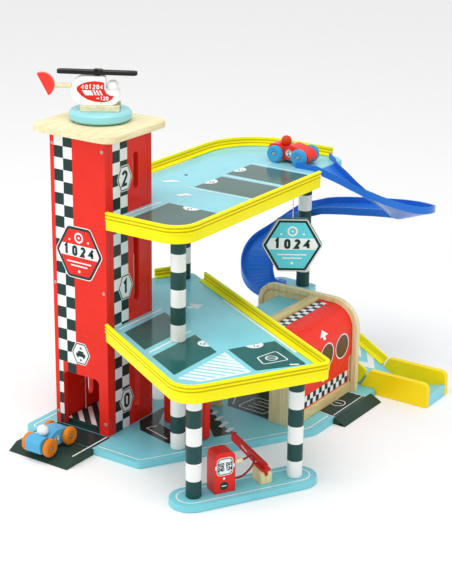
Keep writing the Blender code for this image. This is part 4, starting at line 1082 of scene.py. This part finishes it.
slide_plastic = coated("slide_blue", (44, 116, 214), roughness=0.22, peel=0.04, coat=0.09)
dress("slide_upper", slide_plastic, edge=0.6)
dress("slide_lower", slide_plastic, edge=0.6)
dress("platform_board", deck_ink, edge=0.6)
dress("platform_support", tower_red)


# ---- Exit ramp and tray
# A sloping printed board with yellow kerbs runs down to a tray between two lacquered yellow walls.
# White arrowheads on the ramp point down to the tray.

tray_lacquer = coated("tray_yellow", (252, 222, 20), roughness=0.26, change=0.04, coat=0.075)
dress("exit_ramp", deck_ink, edge=0.4)
dress("tray_floor", deck_ink, edge=0.4)
dress("tray_near_wall", tray_lacquer, edge=0.8)
dress("tray_far_wall", tray_lacquer, edge=0.8)
slope = math.atan(0.5625)
ramp_foot = Vector((228, 421, 14.6))
ramp_face = Matrix.Translation(ramp_foot) @ Matrix.Rotation(slope, 4, "Y")


def ribbed_plastic(name):
    """Moulded plastic with three ribs along the upper half of the ramp's kerbs."""
    material = coated(name, (255, 246, 28), roughness=0.3, change=0.03, peel=0.03, coat=0.045)
    rib_pitch = 3.6 * MM
    up = Vector((math.sin(slope), 0, math.cos(slope)))
    base = (ramp_foot.x * up.x + ramp_foot.z * up.z) * MM
    tree = material.node_tree
    place = node(tree, "TexCoord", give="Object")
    rise = node(tree, "VectorMath", {0: place, 1: up}, "Value", operation="DOT_PRODUCT")
    high = maths(tree, "SUBTRACT", rise, base)
    waves = maths(tree, "SINE", maths(tree, "MULTIPLY", high, 2 * math.pi / rib_pitch))
    crests = node(tree, "MapRange", {"Value": waves, "From Min": 0.1, "From Max": 0.9})
    upper = node(tree, "MapRange", {"Value": high, "From Min": -0.4 * MM, "From Max": 0.2 * MM})
    below = node(tree, "MapRange", {"Value": high, "From Min": 12.2 * MM, "From Max": 11.4 * MM})
    height = maths(tree, "MULTIPLY", maths(tree, "MULTIPLY", upper, below), crests)
    bump = node(tree, "Bump", {"Strength": 0.85, "Distance": 0.0011, "Height": height})
    feed(bump, tree.nodes["Principled BSDF"].inputs["Normal"])
    return material


exit_yellow = ribbed_plastic("exit_kerb_yellow")
dress("exit_near_kerb", exit_yellow, edge=0.5)
dress("exit_far_kerb", exit_yellow, edge=0.5)
chevrons = []
middle, thick, lean = 3.5, 15, 0.78
for tip in (-138, -109, -80, -51, -22):
    for edge in (-20, 27):
        back = tip - lean * abs(edge - middle)
        chevrons.append([(tip - thick, middle), (back - thick, edge), (back, edge), (tip, middle)])
ink("ramp_arrowheads", "garage", white_ink, ramp_face, chevrons, 0.15)


# ---- Fuel pump
# A red lacquered block with a round top, a hose and a wooden nozzle in its side.
# Its face carries a white plate with plain numerals, a dot and a dark round badge.

pump_red = coated("pump_red", (230, 46, 36), roughness=0.22, coat=0.105)
nozzle_wood = bare_wood("nozzle_wood", (244, 232, 194), (228, 208, 160), "Y")
dress("pump_body", pump_red, edge=1)
dress("pump_nozzle", nozzle_wood, edge=0.3)
pump_face = wall(lane_u, lane_n, 229 * lane_n)
for label, finish, inset, lift in (
    ("rim", white_ink, 0, 0.12), ("line", dark_ink, 1.1, 0.2), ("field", white_ink, 2.4, 0.28),
):
    plate = oblong(65.6 + inset, 35.8 + inset, 90.4 - inset, 62.6 - inset)
    outline = rounded(plate, 6.2 - inset)
    ink(f"pump_plate_{label}", "garage", finish, pump_face, [outline], lift)
ink("pump_numerals", "garage", dark_ink, pump_face, [
    *[disc(x, z, 0.7, steps=8) for x in (69.9, 86.1) for z in (40.4, 58)],
    *row_of_digits("102 041", 69, 52.2, 4.9, 1.3, 3),
    *row_of_digits("240 124", 69, 45.6, 4.9, 1.3, 3),
], 0.36)
ink("pump_badge", "garage", dark_ink, pump_face, [disc(77, 20.2, 6.2)], 0.12)
ink("pump_badge_mark", "garage", white_ink, pump_face, [
    disc(76.8, 31.4, 1.8, steps=12),
    *stroke([(73.4, 20.2), (80.6, 20.2)], 1.5),
    oblong(63.4, 46, 65.4, 51.6),
    oblong(90.6, 46, 92.6, 51.6),
], 0.24)


# ---- Barrier
# A bare beech block with a slot holds the tongue of a red arm on a hidden pin.
# White dashes are printed along the arm's side.

barrier_red = coated("barrier_red", (206, 38, 36), roughness=0.3, change=0.06, coat=0.06)
block_wood = bare_wood("block_wood", (238, 224, 178), (220, 200, 148), "Z")
dress("barrier_block", block_wood, edge=0.5)
dress("barrier_arm", barrier_red, edge=0.4)
ink("barrier_dashes", "barrier", white_ink, wall(lane_n, -lane_u, 139.8 * lane_u), [
    *stroke([(154, 36.5), (173, 34)], 1.6),
    [(198, 32), (207, 31.4), (207, 29.6), (198, 30.2)],
], 0.12)


# ---- Helicopter
# A white lacquered block with its pilot, on two birch skids, with a birch boom and a red fin.
# The rotor is black with a small hub, and turns freely.

heli_white = coated("helicopter_white", (246, 247, 246), roughness=0.22, change=0.02, coat=0.09)
skid_birch = bare_wood("skid_birch", (242, 232, 196), (224, 208, 162), "X")
fin_red = coated("fin_red", (240, 66, 56), roughness=0.25, coat=0.09)
rotor_black = coated("rotor_black", (38, 38, 36), roughness=0.45, change=0.15, peel=0.1)
rotor_hub = coated("rotor_hub_grey", (78, 78, 74), roughness=0.35, change=0.1)
for part, finish, edge in (
    ("body", heli_white, 1.5), ("near_skid", skid_birch, 0.5), ("far_skid", skid_birch, 0.5),
    ("boom", skid_birch, 0.3), ("fin", fin_red, 1.5), ("rotor", rotor_black, 1),
):
    dress(f"helicopter_{part}", finish, edge)


def ball(radius):
    """The profile of a turned ball."""
    angles = [math.radians(angle) for angle in range(-75, 76, 15)]
    return [
        (0, -radius), *[(radius * math.cos(a), radius * math.sin(a)) for a in angles],
        (0, radius),
    ]


heli = Matrix.Translation((-49.25, 53.8, 484.5)) @ Matrix.Rotation(photo_turn, 4, "Z")
pilot_place = heli @ Matrix.Translation((18, 0, 33))
turned_piece("pilot_ball", "helicopter", heli_white, pilot_place, ball(8.8), 24)
side_print = [
    (-31.7, 32), (-30.6, 28), (-25, 21.6), (-16.9, 16.6), (-6.2, 13.4), (4.6, 12.6),
    (13, 14.3), (18.2, 18), (20.4, 22), (14.6, 22.4), (10, 25.3), (7.2, 31),
    (7, 40.4), (3.2, 41.6), (-6.2, 42.6), (-16.9, 41.4), (-25, 38.5), (-30.4, 34.9),
]
side_marks = [
    *row_of_digits("401204", -23.2, 34.4, 5.2, 1.5, 5.3),
    [(-24.5, 29.7), (-19.5, 22.6), (-8, 22.6), (-11.5, 29.7)],
    *[[(x + 3.5, 22.6), (x + 5.9, 22.6), (x + 2.4, 29.7), (x, 29.7)] for x in (-9.4, -5.2, -1)],
    *stroke([(-4, 18.2), (-0.4, 18.2)], 1.6),
    *row_of_digits("120", 2.9, 18.2, 4.5, 1.2, 4),
]
half_body = 14
for end, side in (("near", -1), ("far", 1)):
    flank = heli @ wall((1, 0, 0), (0, side, 0), (0, side * half_body, 0))
    for label, finish, shapes, lift in (
        ("print", red_field, [side_print], 0.15), ("stripes", white_ink, side_marks, 0.27),
    ):
        ink(f"helicopter_{label}_{end}", "helicopter", finish, flank, shapes, lift)
turned_piece(
    "rotor_pin", "rotor", rotor_hub, heli @ Matrix.Translation((0, 0, 55)),
    [(0, -0.3), (4.6, -0.3), (4.6, 1.2), (3.8, 2), (2, 2.4), (0, 2.4)], 24,
)


# ---- Hanging sign
# A hexagonal board that hangs on a white cord under the upper deck's kerb.
# It is printed like the tower's sign, in turquoise, on both faces.

sign_edge = coated("sign_dark_green", (62, 98, 92), roughness=0.3, change=0.06)
sign_field = coated("sign_turquoise_print", (100, 212, 224), roughness=0.2, coat=0.09)
dress("sign_board", sign_edge, edge=0.6)
sign_middle = Vector((132, 285, 257.5))
half_sign = 4.75
for end, side in (("near", -1), ("far", 1)):
    right = Vector((math.cos(photo_turn), math.sin(photo_turn), 0)) * -side
    out = Vector((-math.sin(photo_turn), math.cos(photo_turn), 0)) * side
    badge(
        f"hanging_sign_{end}", "sign", wall(right, out, sign_middle + out * half_sign), 0, 0,
        (91, 82, 43.5, 3), sign_field,
    )


# ---- Cars
# Two lacquered block cars, each with a white or red ball for a driver and four turned wheels.
# The wheels sit on steel axles whose ends show in their hubs.

blue_lacquer = coated("car_blue", (86, 176, 222), roughness=0.22, coat=0.09)
red_lacquer = coated("car_red", (240, 54, 42), roughness=0.22, coat=0.09)
orange_lacquer = coated("wheel_orange", (226, 130, 36), roughness=0.25, change=0.08, coat=0.09)
sky_lacquer = coated("wheel_blue", (64, 158, 210), roughness=0.25, change=0.06, coat=0.09)
ball_white = coated("driver_ball_white", (246, 246, 244), roughness=0.2, change=0.02, coat=0.09)
ball_red = coated("driver_ball_red", (206, 64, 34), roughness=0.22, coat=0.09)
blue_place = (
    Matrix.Translation((-50, -96.2, 21.35)) @ Matrix.Rotation(math.radians(90), 4, "Z")
    @ Matrix.Rotation(math.radians(-3.2), 4, "Y") @ Matrix.Translation((22, 0, -14))
)
red_place = Matrix.Translation((46.8, 420.5, 343.2))
half_car, half_track, half_wheelbase, axle_height = 13.5, 22.85, 22, 14
for colour, place, lacquer, wheel_lacquer, driver, wheel_slot in (
    ("blue", blue_place, blue_lacquer, orange_lacquer, ball_white, "wheel_orange"),
    ("red", red_place, red_lacquer, sky_lacquer, ball_red, "wheel_blue"),
):
    car = f"{colour}_car"
    dress(f"{car}_body", lacquer, edge=2.5)
    dress(f"{car}_front_wheels", wheel_lacquer, edge=0.4)
    dress(f"{car}_rear_wheels", wheel_lacquer, edge=0.4)
    seat = place @ Matrix.Translation((-13, 0, 33))
    turned_piece(f"{car}_driver", car, driver, seat, ball(8.4), 24)
    for label, side in (("left", 1), ("right", -1)):
        flank = place @ wall((1, 0, 0), (0, side, 0), (0, side * half_car, 0))
        roundel = disc(0, 16.5, 6.2)
        ink(f"{car}_roundel_{label}", car, white_ink, flank, [roundel], 0.15)
        ink(f"{car}_roundel_line_{label}", car, dark_ink, flank, [
            *stroke(disc(0, 16.5, 5.2, steps=20), 0.7, closed=True),
            *[[(side * p.x, p.y) for p in quad] for quad in digit("2", 0, 16.5, 6.4, 1.3)],
        ], 0.25)
        for end, x in (("front", half_wheelbase), ("rear", -half_wheelbase)):
            hub = (
                place @ Matrix.Translation((x, side * half_track, axle_height))
                @ Matrix.Rotation(math.radians(-90 * side), 4, "X")
            )
            turned_piece(
                f"{car}_{end}_hub_{label}", f"{colour}_{end}_axle", screw_metal, hub,
                [(0, 0), (2.9, 0), (2.9, 0.5), (2.2, 0.9), (0, 1)], 16,
            )
